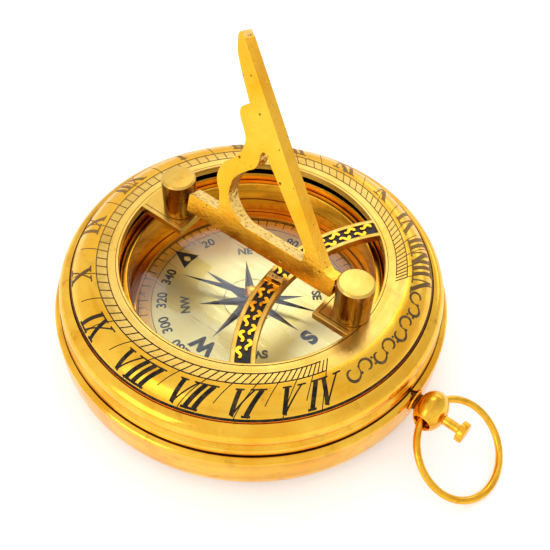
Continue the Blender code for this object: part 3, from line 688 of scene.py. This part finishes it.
def make_glass():
    inner = 19.65 * MM
    edge = 0.18 * MM
    profile = fillet([
        (inner, BEZEL_LOW, 0.1 * MM), (GLASS_RADIUS, BEZEL_LOW), (GLASS_RADIUS, BEZEL_TOP - edge, edge),
        (GLASS_RADIUS - edge, BEZEL_TOP, edge), (inner + edge, BEZEL_TOP, edge),
        (inner, BEZEL_TOP - edge, edge)])
    turned("glass_bezel_fine", profile, [INNER], "case", ["glass_bezel"])
    profile = tube(0.0, GLASS_RADIUS, low("compass_glass").z, GLASS_TOP, 0.1 * MM)
    turned("glass_fine", profile, [GLASS], "case", ["compass_glass"])


def bearing(radius, degrees):
    """A place on the card, by compass bearing."""
    return polar(radius, math.radians(90.0 - degrees))


def print_text(ink, text, size, radius, degree, weight):
    """Figures or letters at a bearing, with their feet towards the centre."""
    ink.text(text, size, bearing(radius, degree), math.radians(-degree), weight)


def print_degrees(ink):
    outer = 18.85 * MM
    for degree in range(0, 360, 5):
        reach = 1.55 * MM if degree % 10 == 0 else 1.0 * MM
        ink.line(bearing(outer - reach, degree), bearing(outer, degree), 0.14 * MM)
    ink.circle(outer, 0.12 * MM)
    ink.circle(16.75 * MM, 0.10 * MM)
    for degree in range(20, 360, 20):
        if degree != 180:
            print_text(ink, str(degree), 2.3 * MM, 14.9 * MM, degree, 0.05 * MM)


def print_pointer(ink):
    """The north mark: a broad arrowhead around an oval hole."""
    peak = bearing(17.4 * MM, 0)
    notch = bearing(13.6 * MM, 0)
    oval = []
    for step in range(24):
        angle = math.tau * step / 24
        oval.append(bearing(14.55 * MM, 0) + Vector((0.55 * math.cos(angle), 0.72 * math.sin(angle))) * MM)
    for sign in (1, -1):
        wing = bearing(13.4 * MM, 0) + Vector((sign * 1.9 * MM, 0))
        half = [point for point in oval if sign * point.x > -1e-6]
        half.sort(key=lambda point: point.y, reverse=True)
        rim = [peak] + half + [notch]
        for first, second in zip(rim, rim[1:]):
            ink.polygon([wing, first, second] if sign < 0 else [wing, second, first])


def print_rose(ink, side):
    """One half of each of the rose's eight points: -1 for the dark halves and 1 for the grey."""
    for degree in range(0, 360, 45):
        tip = bearing(10.0 * MM if degree % 90 == 0 else 8.9 * MM, degree)
        shoulder = bearing(2.3 * MM, degree + side * 22.5)
        ink.polygon([(0, 0), shoulder, tip] if side < 0 else [(0, 0), tip, shoulder])


def make_card():
    bottom = low("compass_card").z
    hole = 0.7 * MM
    profile = fillet([(hole, bottom), (CARD_RADIUS, bottom), (CARD_RADIUS, CARD_TOP, 0.08 * MM),
                      (hole, CARD_TOP)])
    turned("compass_card_fine", profile, [CARD], "case", ["compass_card"], 128)
    ink = Ink(lambda radius: CARD_TOP)
    print_degrees(ink)
    for letter, degree in (("E", 90), ("S", 180), ("W", 270)):
        print_text(ink, letter, 3.7 * MM, 11.9 * MM, degree, 0.22 * MM)
    print_pointer(ink)
    print_rose(ink, -1)
    ink.finish("compass_print", PRINT, "case", "card_print")
    pale = Ink(lambda radius: CARD_TOP)
    for letters, degree in (("NE", 45), ("SE", 135), ("SW", 225), ("NW", 315)):
        print_text(pale, letters, 2.0 * MM, 11.0 * MM, degree, 0.08 * MM)
    print_rose(pale, 1)
    pale.circle(4.6 * MM, 0.10 * MM)
    pale.finish("compass_print_grey", GREY_PRINT, "case", "card_print")


def make_needle():
    top = high("needle").z
    bottom = low("needle").z
    side = bottom + 0.06 * MM
    length = 12.6 * MM
    half = 0.75 * MM
    hub = 1.05 * MM
    bm = bmesh.new()
    for sign in (1, -1):
        tip = bm.verts.new((0, sign * length, (top + bottom) / 2))
        corners = ((-half, side), (0, top), (half, side), (0, bottom))
        root = [bm.verts.new((x, sign * hub, z)) for x, z in corners]
        for index in range(4):
            bm.faces.new((tip, root[index], root[(index + 1) % 4]))
        bm.faces.new(root)
    mesh = to_mesh(bm, "needle_blades", 20.0)
    mesh.transform(Matrix.Rotation(NEEDLE_REST, 4, "Z"))
    piece("needle_blades", mesh, [BLUED], "needle", ["needle"])
    soft = 0.05 * MM
    profile = tube(0.45 * MM, hub + 0.1 * MM, bottom, top, soft)
    turned("needle_hub", profile, [BLUED], "needle", segments=48)
    cap_low, cap_top = low("needle_cap").z, high("needle_cap").z
    radius, shoulder = 1.25 * MM, cap_low + 0.4 * MM
    profile = fillet([(0.5 * MM, cap_low), (radius, cap_low, soft), (radius, shoulder, 0.2 * MM),
                      (0.75 * MM, cap_top - 0.1 * MM, 0.3 * MM), (0.0, cap_top)], closed=False)
    turned("needle_cap_fine", [(0.0, shoulder)] + profile, [POLISHED], "needle",
           ["needle_cap"], 48)


# ---------------------------------------------------------------- the lid

def make_lid_frame():
    neck = DIAL_TOP - 5.7 * MM
    edge = DIAL_TOP - DIAL_DROP
    roll = 2.0 * MM
    roll_centre = (30.5 * MM - roll, DIAL_TOP - 4.8 * MM)
    waist = 30.0 * MM
    inner = 29.3 * MM
    seat_radius = DIAL_RADIUS + 0.1 * MM
    ledge = DIAL_RADIUS - PLATE
    outer = [(LIP_RADIUS - 0.35 * MM, LIP_LOW, 0.15 * MM), (LIP_RADIUS, LIP_LOW + 0.25 * MM, 0.2 * MM),
             (LIP_RADIUS - 0.12 * MM, LIP_LOW + 1.1 * MM, 0.4 * MM), (waist, neck - 0.15 * MM, 0.3 * MM),
             (waist, neck + 0.1 * MM, 0.15 * MM)]
    rolled = arc(roll_centre, roll, -22, 86, 18)
    seat = [(seat_radius, edge - 0.1 * MM), (seat_radius, edge - PLATE), (ledge, edge - PLATE),
            (ledge, edge - 1.6 * PLATE), (28.1 * MM, edge - 2 * PLATE), (inner, neck),
            (inner, LIP_LOW, 0.1 * MM)]
    bead = turned("lid_bead", fillet(outer + rolled + seat), [POLISHED, INSIDE_SHADE, GAP_SHADE], "lid",
                  ["lid_frame"])
    # Painted shade: the underside of the lid's lip takes the gap shade.
    lip_top = LIP_LOW + 0.2 * MM
    paint(bead, 2, lambda radius, height, up: height < lip_top)
    # Painted shade: the lid's inside below the dial's seat takes the inside shade.
    inner_radius, inner_top = inner + 0.05 * MM, edge - PLATE + 0.05 * MM
    paint(bead, 1, lambda radius, height, up: radius < inner_radius and height < inner_top)
    cut(bead, hinge_channel())


def make_dial():
    centre = (FLAT, DIAL_TOP - DIAL_CURVE)
    sweep = math.degrees(math.asin(DIAL_RUN / DIAL_CURVE))
    crown = arc(centre, DIAL_CURVE, 90, 90 - sweep, 16)
    under_edge = DIAL_TOP - DIAL_DROP - PLATE + 0.1 * MM
    rim = [(DIAL_RADIUS, under_edge), (DIAL_RADIUS - PLATE, under_edge)]
    hollow = arc(centre, DIAL_CURVE - PLATE, 90 - 0.72 * sweep, 90, 6)
    profile = fillet([(OPENING, DIAL_TOP, 0.16 * MM)] + crown + rim + hollow
                     + [(OPENING, DIAL_TOP - PLATE, 0.1 * MM)])
    # Partly painted highlight: the dial's flat is in the paler dial sheen brass.
    ring = turned("dial_ring", profile, [DIAL_SHEEN_BRASS, INSIDE_SHADE, HOUR_BRASS], "lid",
                  ["dial_plate"])
    paint(ring, 2, lambda radius, height, up: radius > FLAT)
    # Painted shade: the dial ring's downward faces take the inside shade.
    paint(ring, 1, lambda radius, height, up: up < -0.3)


def band_span():
    """Half the angle that the hour band subtends at its own centre."""
    embed = OPENING + 0.5 * MM
    meet = (BAND_RADIUS ** 2 - embed ** 2 - BAND_CENTRE ** 2) / (-2 * BAND_CENTRE)
    return math.acos((meet - BAND_CENTRE) / BAND_RADIUS)


def on_band(angle, across):
    """A place on the hour band: angle from noon about the band's centre, and distance outwards."""
    radius = BAND_RADIUS + across
    return Vector((-radius * math.sin(angle), BAND_CENTRE + radius * math.cos(angle)))


def make_tabs():
    embed = OPENING + 0.35 * MM
    spread = math.degrees(math.asin(TAB_HALF / embed))
    for name, sign, inner in (("north_tab", 1, NORTH_TAB), ("south_tab", -1, SOUTH_TAB)):
        outer = arc((0, 0), embed, sign * 90 - spread, sign * 90 + spread, 8)
        outline = outer + [(-sign * TAB_HALF, inner), (sign * TAB_HALF, inner)]
        mesh = slab(name, outline, DIAL_TOP - PLATE, INLAY_TOP)
        # Partly painted highlight: the tabs are in the paler dial sheen brass.
        bevel(piece(name, mesh, [DIAL_SHEEN_BRASS], "lid"), 0.09 * MM, 2)


def make_band():
    half = band_span()
    turn = (72, math.pi / 2 - half, 2 * half, (0.0, BAND_CENTRE))
    trench = DIAL_TOP - 0.34 * MM
    bottom = DIAL_TOP - PLATE
    near, far = BAND_RADIUS - BAND_HALF, BAND_RADIUS + BAND_HALF
    trench_near, trench_far = BAND_RADIUS - BAND_TRENCH, BAND_RADIUS + BAND_TRENCH
    edge, brink = 0.1 * MM, 0.06 * MM
    profile = fillet([(near, bottom), (near, INLAY_TOP, edge), (trench_near, INLAY_TOP, brink),
                      (trench_near, trench), (trench_far, trench), (trench_far, INLAY_TOP, brink),
                      (far, INLAY_TOP, edge), (far, bottom)])
    # Partly painted highlight: the hour band's top is in the paler dial sheen brass.
    piece("hour_band", lathe("band", profile, *turn), [DIAL_SHEEN_BRASS], "lid")
    near, far = trench_near - 0.05 * MM, trench_far + 0.05 * MM
    buried, floor = trench - 0.2 * MM, trench + INK_LIFT
    profile = [(near, buried), (near, floor), (far, floor), (far, buried)]
    piece("hour_band_floor", lathe("band_floor", profile, *turn), [TRENCH], "lid")
    make_hooks(half, trench)
    make_crossbars()


def make_hooks(half, bottom):
    """Two staggered rows of raised hooks along the trench."""
    bm = bmesh.new()
    top = INLAY_TOP - 0.03 * MM
    pitch = 2.75 * MM / BAND_RADIUS
    count = int(half / pitch)
    shape = [(-0.80, -0.22), (-0.84, 0.10), (-0.58, 0.34), (-0.20, 0.30), (0.06, 0.02), (0.34, -0.20),
             (0.66, -0.16), (0.80, 0.04)]
    spine = smooth_path(shape, 4)
    for shift, across, flip in ((0.0, 0.54 * MM, 1), (0.5, -0.54 * MM, -1)):
        for index in range(-count, count + 1):
            middle = (index + shift) * pitch
            if abs(middle) <= half - 0.40 * pitch:
                add_hook(bm, spine, middle, across, flip, bottom, top)
    piece("band_waves", to_mesh(bm, "waves", 30.0), [CAST], "lid")


def add_hook(bm, spine, middle, across, flip, bottom, top):
    """One hook with upright sides, thinner towards its tail and rounded at both ends."""
    last = len(spine) - 1
    rails = []
    for step, point in enumerate(spine):
        end = min(step, last - step) / last
        width = (0.58 - 0.20 * step / last) * MM * math.sqrt(min(1.0, 0.10 + 9.0 * end))
        along = middle + point.x * MM / BAND_RADIUS
        offset = across + flip * point.y * MM
        ahead = spine[min(step + 1, last)] - spine[max(step - 1, 0)]
        normal = Vector((-ahead.y, ahead.x)).normalized() * width / 2
        rail = []
        for side in (1, -1):
            place = on_band(along + side * normal.x / BAND_RADIUS, offset + side * flip * normal.y)
            rail += [bm.verts.new((*place, bottom)), bm.verts.new((*place, top))]
        rails.append((rail[0], rail[1], rail[3], rail[2]))
    for first, second in zip(rails, rails[1:]):
        for a, b in ((0, 1), (1, 2), (2, 3), (3, 0)):
            bm.faces.new((first[a], first[b], second[b], second[a]))
    bm.faces.new(rails[0])
    bm.faces.new(rails[-1])


def make_crossbars():
    reach = BAND_TRENCH + 0.25 * MM
    for name, angle, width, height, material in (
            ("band_block", 0.075, 0.95 * MM, 0.55 * MM, SANDY),
            ("band_fillet", 0.112, 0.38 * MM, 0.3 * MM, CAST)):
        spread = width / 2 / BAND_RADIUS
        corners = [on_band(angle + turn * spread, out * reach)
                   for turn, out in ((-1, 1), (1, 1), (1, -1), (-1, -1))]
        mesh = slab(name, corners, DIAL_TOP - 0.5 * MM, INLAY_TOP + height)
        bevel(piece(name, mesh, [material], "lid"), 0.10 * MM)


# ---------------------------------------------------------------- engraving on the dial

def hour_direction(hour):
    angle = math.radians(15.0 * (12 - hour) + HOUR_SKEW)
    return Vector((-math.sin(angle), math.cos(angle)))


def hour_point(hour, radius):
    """Where an hour line crosses a circle about the dial's centre."""
    along = hour_direction(hour)
    start = Vector((0, HOUR_CENTRE))
    b = start.dot(along)
    reach = -b + math.sqrt(b * b - start.length_squared + radius * radius)
    return start + along * reach


def numeral_strokes(text):
    """Roman numerals as strokes ((u, v), (u, v), width), with cap height 1 and their whole width."""
    thick, thin = 0.205, 0.07
    gap = 0.0765
    serif_half = 0.17
    letters = {
        "I": (0.26, [((0.13, 0.0), (0.13, 1.0), thick)], [(0.13, 0.0), (0.13, 1.0)]),
        "V": (0.74, [((0.10, 1.0), (0.40, 0.0), thick), ((0.66, 1.0), (0.42, 0.02), thin)],
              [(0.10, 1.0), (0.66, 1.0)]),
        "X": (0.76, [((0.12, 1.0), (0.64, 0.0), thick), ((0.66, 1.0), (0.10, 0.0), thin)],
              [(0.12, 1.0), (0.64, 0.0), (0.66, 1.0), (0.10, 0.0)])}
    strokes = []
    pen = 0.0
    for letter in text:
        width, lines, feet = letters[letter]
        serifs = [((u - serif_half, v), (u + serif_half, v), thin) for u, v in feet]
        for (u0, v0), (u1, v1), weight in lines + serifs:
            strokes.append(((pen + u0, v0), (pen + u1, v1), weight))
        pen += width + gap
    return strokes, pen - gap


ROMAN = ("I", "II", "III", "IV", "V", "VI", "VII", "VIII", "IX", "X", "XI", "XII")


def hour_polar(hour, radius):
    """The angle about the dial's centre at which an hour line crosses a circle."""
    place = hour_point(hour, radius)
    return math.atan2(place.y, place.x)


def engrave_numeral(ink, hour):
    """Feet on a circle near the seam, strokes leaning with the hour line."""
    strokes, width = numeral_strokes(ROMAN[(hour - 1) % 12])
    height = NUMERAL_FOOT - NUMERAL_TOP
    for start, end, weight in strokes:
        ends = []
        for u, v in (start, end):
            radius = NUMERAL_FOOT - v * height
            across = (u - width / 2) * NUMERAL_STRETCH * height / radius
            ends.append(polar(radius, hour_polar(hour, radius) + across))
        ink.line(*ends, weight * height)


def engrave_tab(ink, edge, sign):
    """Three sides of a frame on a tab, open towards the dial."""
    inset = 0.75 * MM
    thin = 0.11 * MM
    side = TAB_HALF - inset
    foot = edge + sign * inset
    reach = sign * math.sqrt((OPENING - 0.2 * MM) ** 2 - side ** 2)
    ink.line((-side, foot), (side, foot), thin)
    for x in (-side, side):
        ink.line((x, foot), (x, reach), thin)


def make_engraving():
    ink = Ink(dial_height)
    fine, ray = 0.16 * MM, 0.12 * MM
    start = math.degrees(hour_polar(LAST_HOUR, FLAT))
    end = math.degrees(hour_polar(FIRST_HOUR, FLAT)) % 360.0
    ink.circle(OPENING_LINE, 0.10 * MM)
    for radius in (SCALE_INNER, FLAT):
        ink.circle(radius, fine, start, end)
    ink.circle(SEAM_CIRCLE, 0.20 * MM)
    for index in range((LAST_HOUR - FIRST_HOUR) * CELLS_PER_HOUR + 1):
        hour = FIRST_HOUR + index / CELLS_PER_HOUR
        ink.line(hour_point(hour, SCALE_INNER), hour_point(hour, FLAT), fine)
        if index % CELLS_PER_HOUR == 0:
            ink.line(hour_point(hour, FLAT), hour_point(hour, SEAM_CIRCLE), ray)
        elif index % (CELLS_PER_HOUR // 2) == 0:
            ink.line(hour_point(hour, FLAT), hour_point(hour, HALF_HOUR_END), ray)
    for hour in range(FIRST_HOUR, LAST_HOUR + 1):
        engrave_numeral(ink, hour)
    faint = Ink(dial_height)
    engrave_ornament(faint, end, start + 360.0)
    faint.finish("dial_ornament", WORN_FILLER, "lid", "dark_brass")
    engrave_tab(ink, NORTH_TAB, 1)
    engrave_tab(ink, SOUTH_TAB, -1)
    ink.finish("dial_engraving", BLACK, "lid", "dark_brass")


def engrave_ornament(ink, start, end):
    """A plain running scroll across the south of the dial, between the two ends of the hours."""
    radius = 26.1 * MM
    margin = 4.5
    scrolls = 8
    steps = 32
    pitch = (end - start - 2 * margin) / scrolls
    for index in range(scrolls):
        centre = start + margin + (index + 0.5) * pitch
        flip = 1 if index % 2 == 0 else -1
        points = []
        for step in range(steps + 1):
            t = step / steps
            swing = 1.55 * math.pi * t
            size = 1.30 * MM * (1.0 - 0.55 * t)
            along = centre + math.degrees((flip * size * math.cos(swing) - 0.1 * MM) / radius)
            away = radius + flip * size * math.sin(swing) * 0.9
            points.append(polar(away, math.radians(along)))
        ink.path(points, 0.38 * MM)
        if index < scrolls - 1:
            between = math.radians(centre + pitch / 2)
            tangent = Vector((-math.sin(between), math.cos(between))) * 0.16 * MM
            for away in (radius - 0.45 * MM, radius + 0.45 * MM):
                dot = polar(away, between)
                ink.line(dot - tangent, dot + tangent, 0.32 * MM)


# ---------------------------------------------------------------- posts and gnomon

def make_posts():
    below_top = POST_TOP - 0.3 * MM
    profile = fillet([
        (0.0, POST_FOOT), (POST_RADIUS - 0.05 * MM, POST_FOOT, 0.1 * MM),
        (POST_RADIUS, POST_FOOT + 0.35 * MM, 0.2 * MM), (POST_RADIUS, below_top, 0.12 * MM),
        (POST_RADIUS - 0.3 * MM, POST_TOP, 0.15 * MM), (0.0, POST_TOP)], closed=False)
    for node, place, inward in (("north_post", NORTH_POST, -1), ("south_post", SOUTH_POST, 1)):
        post = turned(node + "_fine", profile, [DIAL_SHEEN_BRASS, POST_SIDE_SHADE], "lid", [node], 96,
                      Matrix.Translation((0, place, 0)))
        # Painted light and shade: the posts' tops keep the paler dial sheen brass and their upright sides
        # take the darker shaded copy.
        paint(post, 1, lambda radius, height, up: abs(up) < 0.3)
        bore = cylinder("pivot_bore", 0.66 * MM, 0.8 * MM, 4.0 * MM, 32)
        bore.transform(turn_to((0, inward, 0), (0, place, PIVOT_Z)))
        cut(post, bore)


def gnomon_outline():
    """(along noon, up from the pivot) in millimetres: bar, scrolled stay, style."""
    bar_south = (SOUTH_POST + POST_RADIUS) / MM + 0.2
    bar_north = (NORTH_POST - POST_RADIUS) / MM - 0.2
    bar = [(bar_south, -1.8, 0.35), (bar_north, -1.8, 0.3), (bar_north, 1.4, 0.45), (6.45, 1.35, 0.2)]
    stay = smooth_path([(6.35, 2.4), (6.8, 4.4), (7.45, 5.6), (7.75, 6.7), (7.65, 7.9), (7.1, 9.3),
                        (6.1, 10.3), (4.85, 11.7), (4.25, 13.1), (4.25, 14.5), (4.8, 15.7), (5.65, 16.9),
                        (6.15, 17.9), (6.1, 18.7), (5.55, 19.3), (4.85, 19.8)], 5)
    tip = [(7.5, 23.9, 0.6), (8.65, 26.0, 1.5), (9.1, 28.2, 0.8), (8.8, 29.0, 0.35), (7.85, 28.1, 1.2)]
    style = [(-13.4, 1.75, 0.3), (-14.2, 1.3, 0.5), (bar_south, 1.25, 0.35)]
    return fillet(bar + stay + tip + style)


def gnomon_window():
    straight = [(-9.85, 1.15, 0.3), (-9.85, 3.05, 0.4), (-0.35, 13.15, 0.5)]
    scroll = smooth_path([(0.15, 13.75), (0.75, 13.95), (1.15, 13.3), (1.12, 12.2), (1.55, 10.95),
                          (2.65, 10.05), (3.85, 8.9), (4.7, 7.7), (5.0, 6.5), (5.05, 5.2), (4.65, 4.0),
                          (3.8, 3.0), (2.65, 2.0), (1.4, 1.35), (0.5, 1.15)], 5)
    return fillet(straight + scroll)


def make_gnomon():
    scale = Matrix.Diagonal((MM, MM, 1.0, 1.0))
    mesh = slab("gnomon_blade", gnomon_outline(), -GNOMON_HALF, GNOMON_HALF)
    mesh.transform(scale)
    gnomon = piece("gnomon_fine", mesh, [CAST, SANDY], "gnomon", ["gnomon"])
    window = slab("gnomon_window", gnomon_window(), -2 * GNOMON_HALF, 2 * GNOMON_HALF)
    window.transform(scale)
    cut(gnomon, window)
    mesh = gnomon.data
    smooth(mesh)
    for face in mesh.polygons:
        along, up = face.center.x / MM, face.center.y / MM
        on_edge = abs(face.normal.z) < 0.5
        style_edge = along < 8 and up > 1.6 + (along + 13.4) * 1.2
        if on_edge and not style_edge and up > -1.5:
            face.material_index = 1
    upright = Matrix(((0, 0, 1), (1, 0, 0), (0, 1, 0))).to_4x4()
    lean = Matrix.Rotation(math.radians(GNOMON_LEAN), 4, "Y")
    mesh.transform(Matrix.Translation((0, 0, PIVOT_Z)) @ lean @ upright)
    bevel(gnomon, 0.16 * MM, 3, 40.0)


# ---------------------------------------------------------------- hinge, pendant, bow and button

def hinge_channel():
    """The round channel that the hinge lies in, cut from the drum's rim and the lid's lip."""
    reach = 4.7 * MM
    mesh = cylinder("channel", 0.98 * MM, -reach, reach, 48)
    mesh.transform(hinge_line())
    return mesh


def make_hinge():
    edge = 0.10 * MM
    for node, body in (("hinge_knuckle_east", "case"), ("hinge_knuckle_west", "case"),
                       ("hinge_knuckle_lid", "lid")):
        profile = tube(0.42 * MM, 0.85 * MM, low(node).x, high(node).x, edge)
        turned(node + "_barrel", profile, [POLISHED], body, [node], 64, hinge_line())
    reach = high("hinge_pin").x
    profile = tube(0.0, 0.35 * MM, -reach, reach, edge)
    turned("hinge_pin_fine", profile, [STEEL], "case", ["hinge_pin"], 32, hinge_line())


def make_pendant_neck():
    bead_back = -PENDANT_Y - PENDANT_HALF_DEPTH * 0.93
    wall = DRUM_RADIUS + 0.05 * MM
    root = wall - 1.2 * MM
    stem, flange, throat = 1.15 * MM, 1.8 * MM, 1.3 * MM
    profile = fillet([
        (PENDANT_BORE, root), (stem, root), (stem, wall, 0.02 * MM), (flange, wall, 0.1 * MM),
        (flange, wall + 0.28 * MM, 0.12 * MM), (throat, wall + 0.4 * MM, 0.1 * MM),
        (throat, bead_back, 0.02 * MM), (PENDANT_BORE, bead_back)])
    mesh = lathe("neck", profile, 48)
    # Painted shade: the neck between the drum and the bead takes the gap shade; only its flange is polished
    # brass.
    neck = piece("pendant_neck_fine", mesh, [GAP_SHADE, POLISHED], "case", ["pendant_neck"])
    paint(neck, 1, lambda radius, height, up: radius > throat + 0.05 * MM)
    mesh.transform(pendant_line())


def make_pendant_bead():
    ball = []
    for degrees in range(-72, 73, 6):
        angle = math.radians(degrees)
        ball.append((PENDANT_HALF_HEIGHT * math.cos(angle),
                     -PENDANT_Y + PENDANT_HALF_DEPTH * math.sin(angle)))
    profile = [(PENDANT_BORE, ball[0][1])] + ball + [(PENDANT_BORE, ball[-1][1])]
    bead = turned("pendant_bead_fine", profile, [POLISHED], "case", ["pendant_bead"], 96,
                  pendant_line())
    inner, outer = 1.1 * MM, 3.4 * MM
    flare = fillet([(0.0, inner), (1.2 * MM, inner), (1.2 * MM, 2.4 * MM, 1.2 * MM), (1.9 * MM, outer),
                    (0.0, outer)], closed=False)
    for direction in (1, -1):
        socket = lathe("socket", flare, 48)
        socket.transform(pendant_frame() @ turn_to((direction, 0, 0), (0, PENDANT_Y, PENDANT_Z)))
        cut(bead, socket)
    smooth(bead.data, 30.0)


def make_bow():
    curve = bpy.data.curves.new("bow", "CURVE")
    curve.dimensions = "3D"
    curve.bevel_depth = BOW_WIRE
    curve.bevel_resolution = 6
    curve.use_fill_caps = True
    outward = Vector((0.0, -math.cos(BOW_REST), -math.sin(BOW_REST)))
    across = Vector((1.0, 0.0, 0.0))
    pivot = Matrix.Translation((0, PENDANT_Y, PENDANT_Z)) @ Matrix.Rotation(BOW_TURN, 4, "Z")
    open_end = math.pi - math.asin(BOW_END / BOW_RADIUS)
    count = 120
    spline = curve.splines.new("POLY")
    spline.points.add(count)
    for index, point in enumerate(spline.points):
        out, aside = polar(BOW_RADIUS, open_end * (2 * index / count - 1))
        where = outward * (BOW_OFFSET + out) + across * aside
        point.co = (*(pendant_frame() @ pivot @ where), 1.0)
    piece("bow_fine", curve, [POLISHED], "bow", ["bow_ring"])


def make_button():
    stem, stem_start, stem_end = 0.72 * MM, 28.1 * MM, 39.2 * MM
    profile = fillet([(0.0, stem_start), (stem, stem_start, 0.05 * MM), (stem, stem_end), (0.0, stem_end)],
                     closed=False)
    turned("button_stem_fine", profile, [POLISHED], "button", ["button_stem"], 48,
           pendant_line())
    head, head_start, head_end = 1.6 * MM, 39.3 * MM, 40.5 * MM
    edge = 0.15 * MM
    profile = fillet([(0.0, head_start), (head, head_start, edge), (head, head_end - edge, 0.2 * MM),
                      (0.0, head_end)], closed=False)
    turned("button_head_fine", profile, [POLISHED], "button", ["button_head"], 64,
           pendant_line())


def paint_hidden_pieces():
    finishes = dict.fromkeys((
        "needle_pin", "lid_spring_east", "lid_spring_west", "north_post_screw", "south_post_screw",
        "lid_keeper", "latch_hook", "button_spring", "north_pivot_pin", "south_pivot_pin"), STEEL)
    finishes["spring_bracket"] = INNER
    for node, material in finishes.items():
        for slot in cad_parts[node].material_slots:
            slot.material = material


# ---------------------------------------------------------------- floor, light and camera

def make_stage():
    """White paper that glows a little, so that it stays white where the lamps don't reach."""
    nodes = Nodes("floor_paper")
    tone = nodes.mix(nodes.noise(4.0, 2.0), (0.93, 0.93, 0.93), (0.90, 0.90, 0.90))
    paper = nodes.finish(Roughness=0.6, Base_Color=tone, Emission_Color=(1.0, 1.0, 1.0, 1.0),
                         Emission_Strength=0.30)
    bm = bmesh.new()
    bmesh.ops.create_grid(bm, x_segments=2, y_segments=2, size=1.2)
    mesh = bpy.data.meshes.new("floor")
    bm.to_mesh(mesh)
    bm.free()
    floor = bpy.data.objects.new("floor", mesh)
    floor.location.z = -0.02 * MM
    bpy.context.collection.objects.link(floor)
    mesh.materials.append(paper)


def soft_box(name, place, size, power, colour=(1.0, 1.0, 1.0)):
    """An area lamp that faces the middle of the dial."""
    light = bpy.data.lights.new(name, "AREA")
    light.shape = "RECTANGLE"
    light.size, light.size_y = size
    light.energy = power
    light.color = colour
    lamp = bpy.data.objects.new(name, light)
    lamp.location = place
    lamp.rotation_euler = (Vector((0, 0, DIAL_TOP)) - Vector(place)).to_track_quat("-Z", "Y").to_euler()
    bpy.context.collection.objects.link(lamp)


def make_world():
    """An even white sky, a little dimmer around the south-east."""
    world = bpy.data.worlds.new("studio")
    bpy.context.scene.world = world
    world.use_nodes = True
    tree = world.node_tree
    place = tree.nodes.new("ShaderNodeTexCoord")
    toward = tree.nodes.new("ShaderNodeVectorMath")
    toward.operation = "DOT_PRODUCT"
    toward.inputs[1].default_value = Vector((0.72, -0.52, 0.46)).normalized()
    tree.links.new(place.outputs["Generated"], toward.inputs[0])
    ramp = tree.nodes.new("ShaderNodeValToRGB")
    tree.links.new(toward.outputs["Value"], ramp.inputs["Fac"])
    stops = ramp.color_ramp.elements
    stops.new(1.0)
    for stop, (position, level) in zip(stops, ((0.0, 0.95), (0.55, 0.95), (0.90, 0.741))):
        stop.position = position
        stop.color = (level, level, level, 1.0)
    tree.links.new(ramp.outputs["Color"], tree.nodes["Background"].inputs["Color"])


def make_light():
    make_world()
    soft_box("window", (0.232, 0.228, 0.40), (0.060, 0.060), 0.018, (0.93, 0.96, 1.0))
    soft_box("key", (0.345, 0.165, 0.495), (0.27, 0.18), 0.26)
    soft_box("fill", (-0.42, 0.10, 0.25), (0.25, 0.30), 0.30)
    soft_box("side", (0.46, -0.01, 0.18), (0.34, 0.11), 0.13)
    bpy.context.scene.view_settings.view_transform = "Standard"


def make_camera():
    camera = bpy.data.cameras.new("camera")
    camera.sensor_width = 36.0
    camera.lens = 50.33
    camera.shift_x = 0.0417
    camera.shift_y = -0.0422
    camera.clip_start = 0.005
    eye = Vector((-63.0, -50.1, 106.2)) * MM
    roll = math.radians(0.92)
    ahead = (Vector((0, 0, DIAL_TOP)) - eye).normalized()
    right = ahead.cross(Vector((0, 0, 1))).normalized()
    across = right * math.cos(roll) + right.cross(ahead) * math.sin(roll)
    upward = across.cross(ahead)
    holder = bpy.data.objects.new("camera", camera)
    holder.matrix_world = Matrix.Translation(eye) @ Matrix((across, upward, -ahead)).transposed().to_4x4()
    bpy.context.collection.objects.link(holder)
    bpy.context.scene.camera = holder


make_camera()
make_drum()
make_cup()
make_chapter_ring()
make_glass()
make_card()
make_needle()
make_lid_frame()
make_dial()
make_tabs()
make_band()
make_engraving()
make_posts()
make_gnomon()
make_hinge()
make_pendant_neck()
make_pendant_bead()
make_bow()
make_button()
paint_hidden_pieces()
make_stage()
make_light()
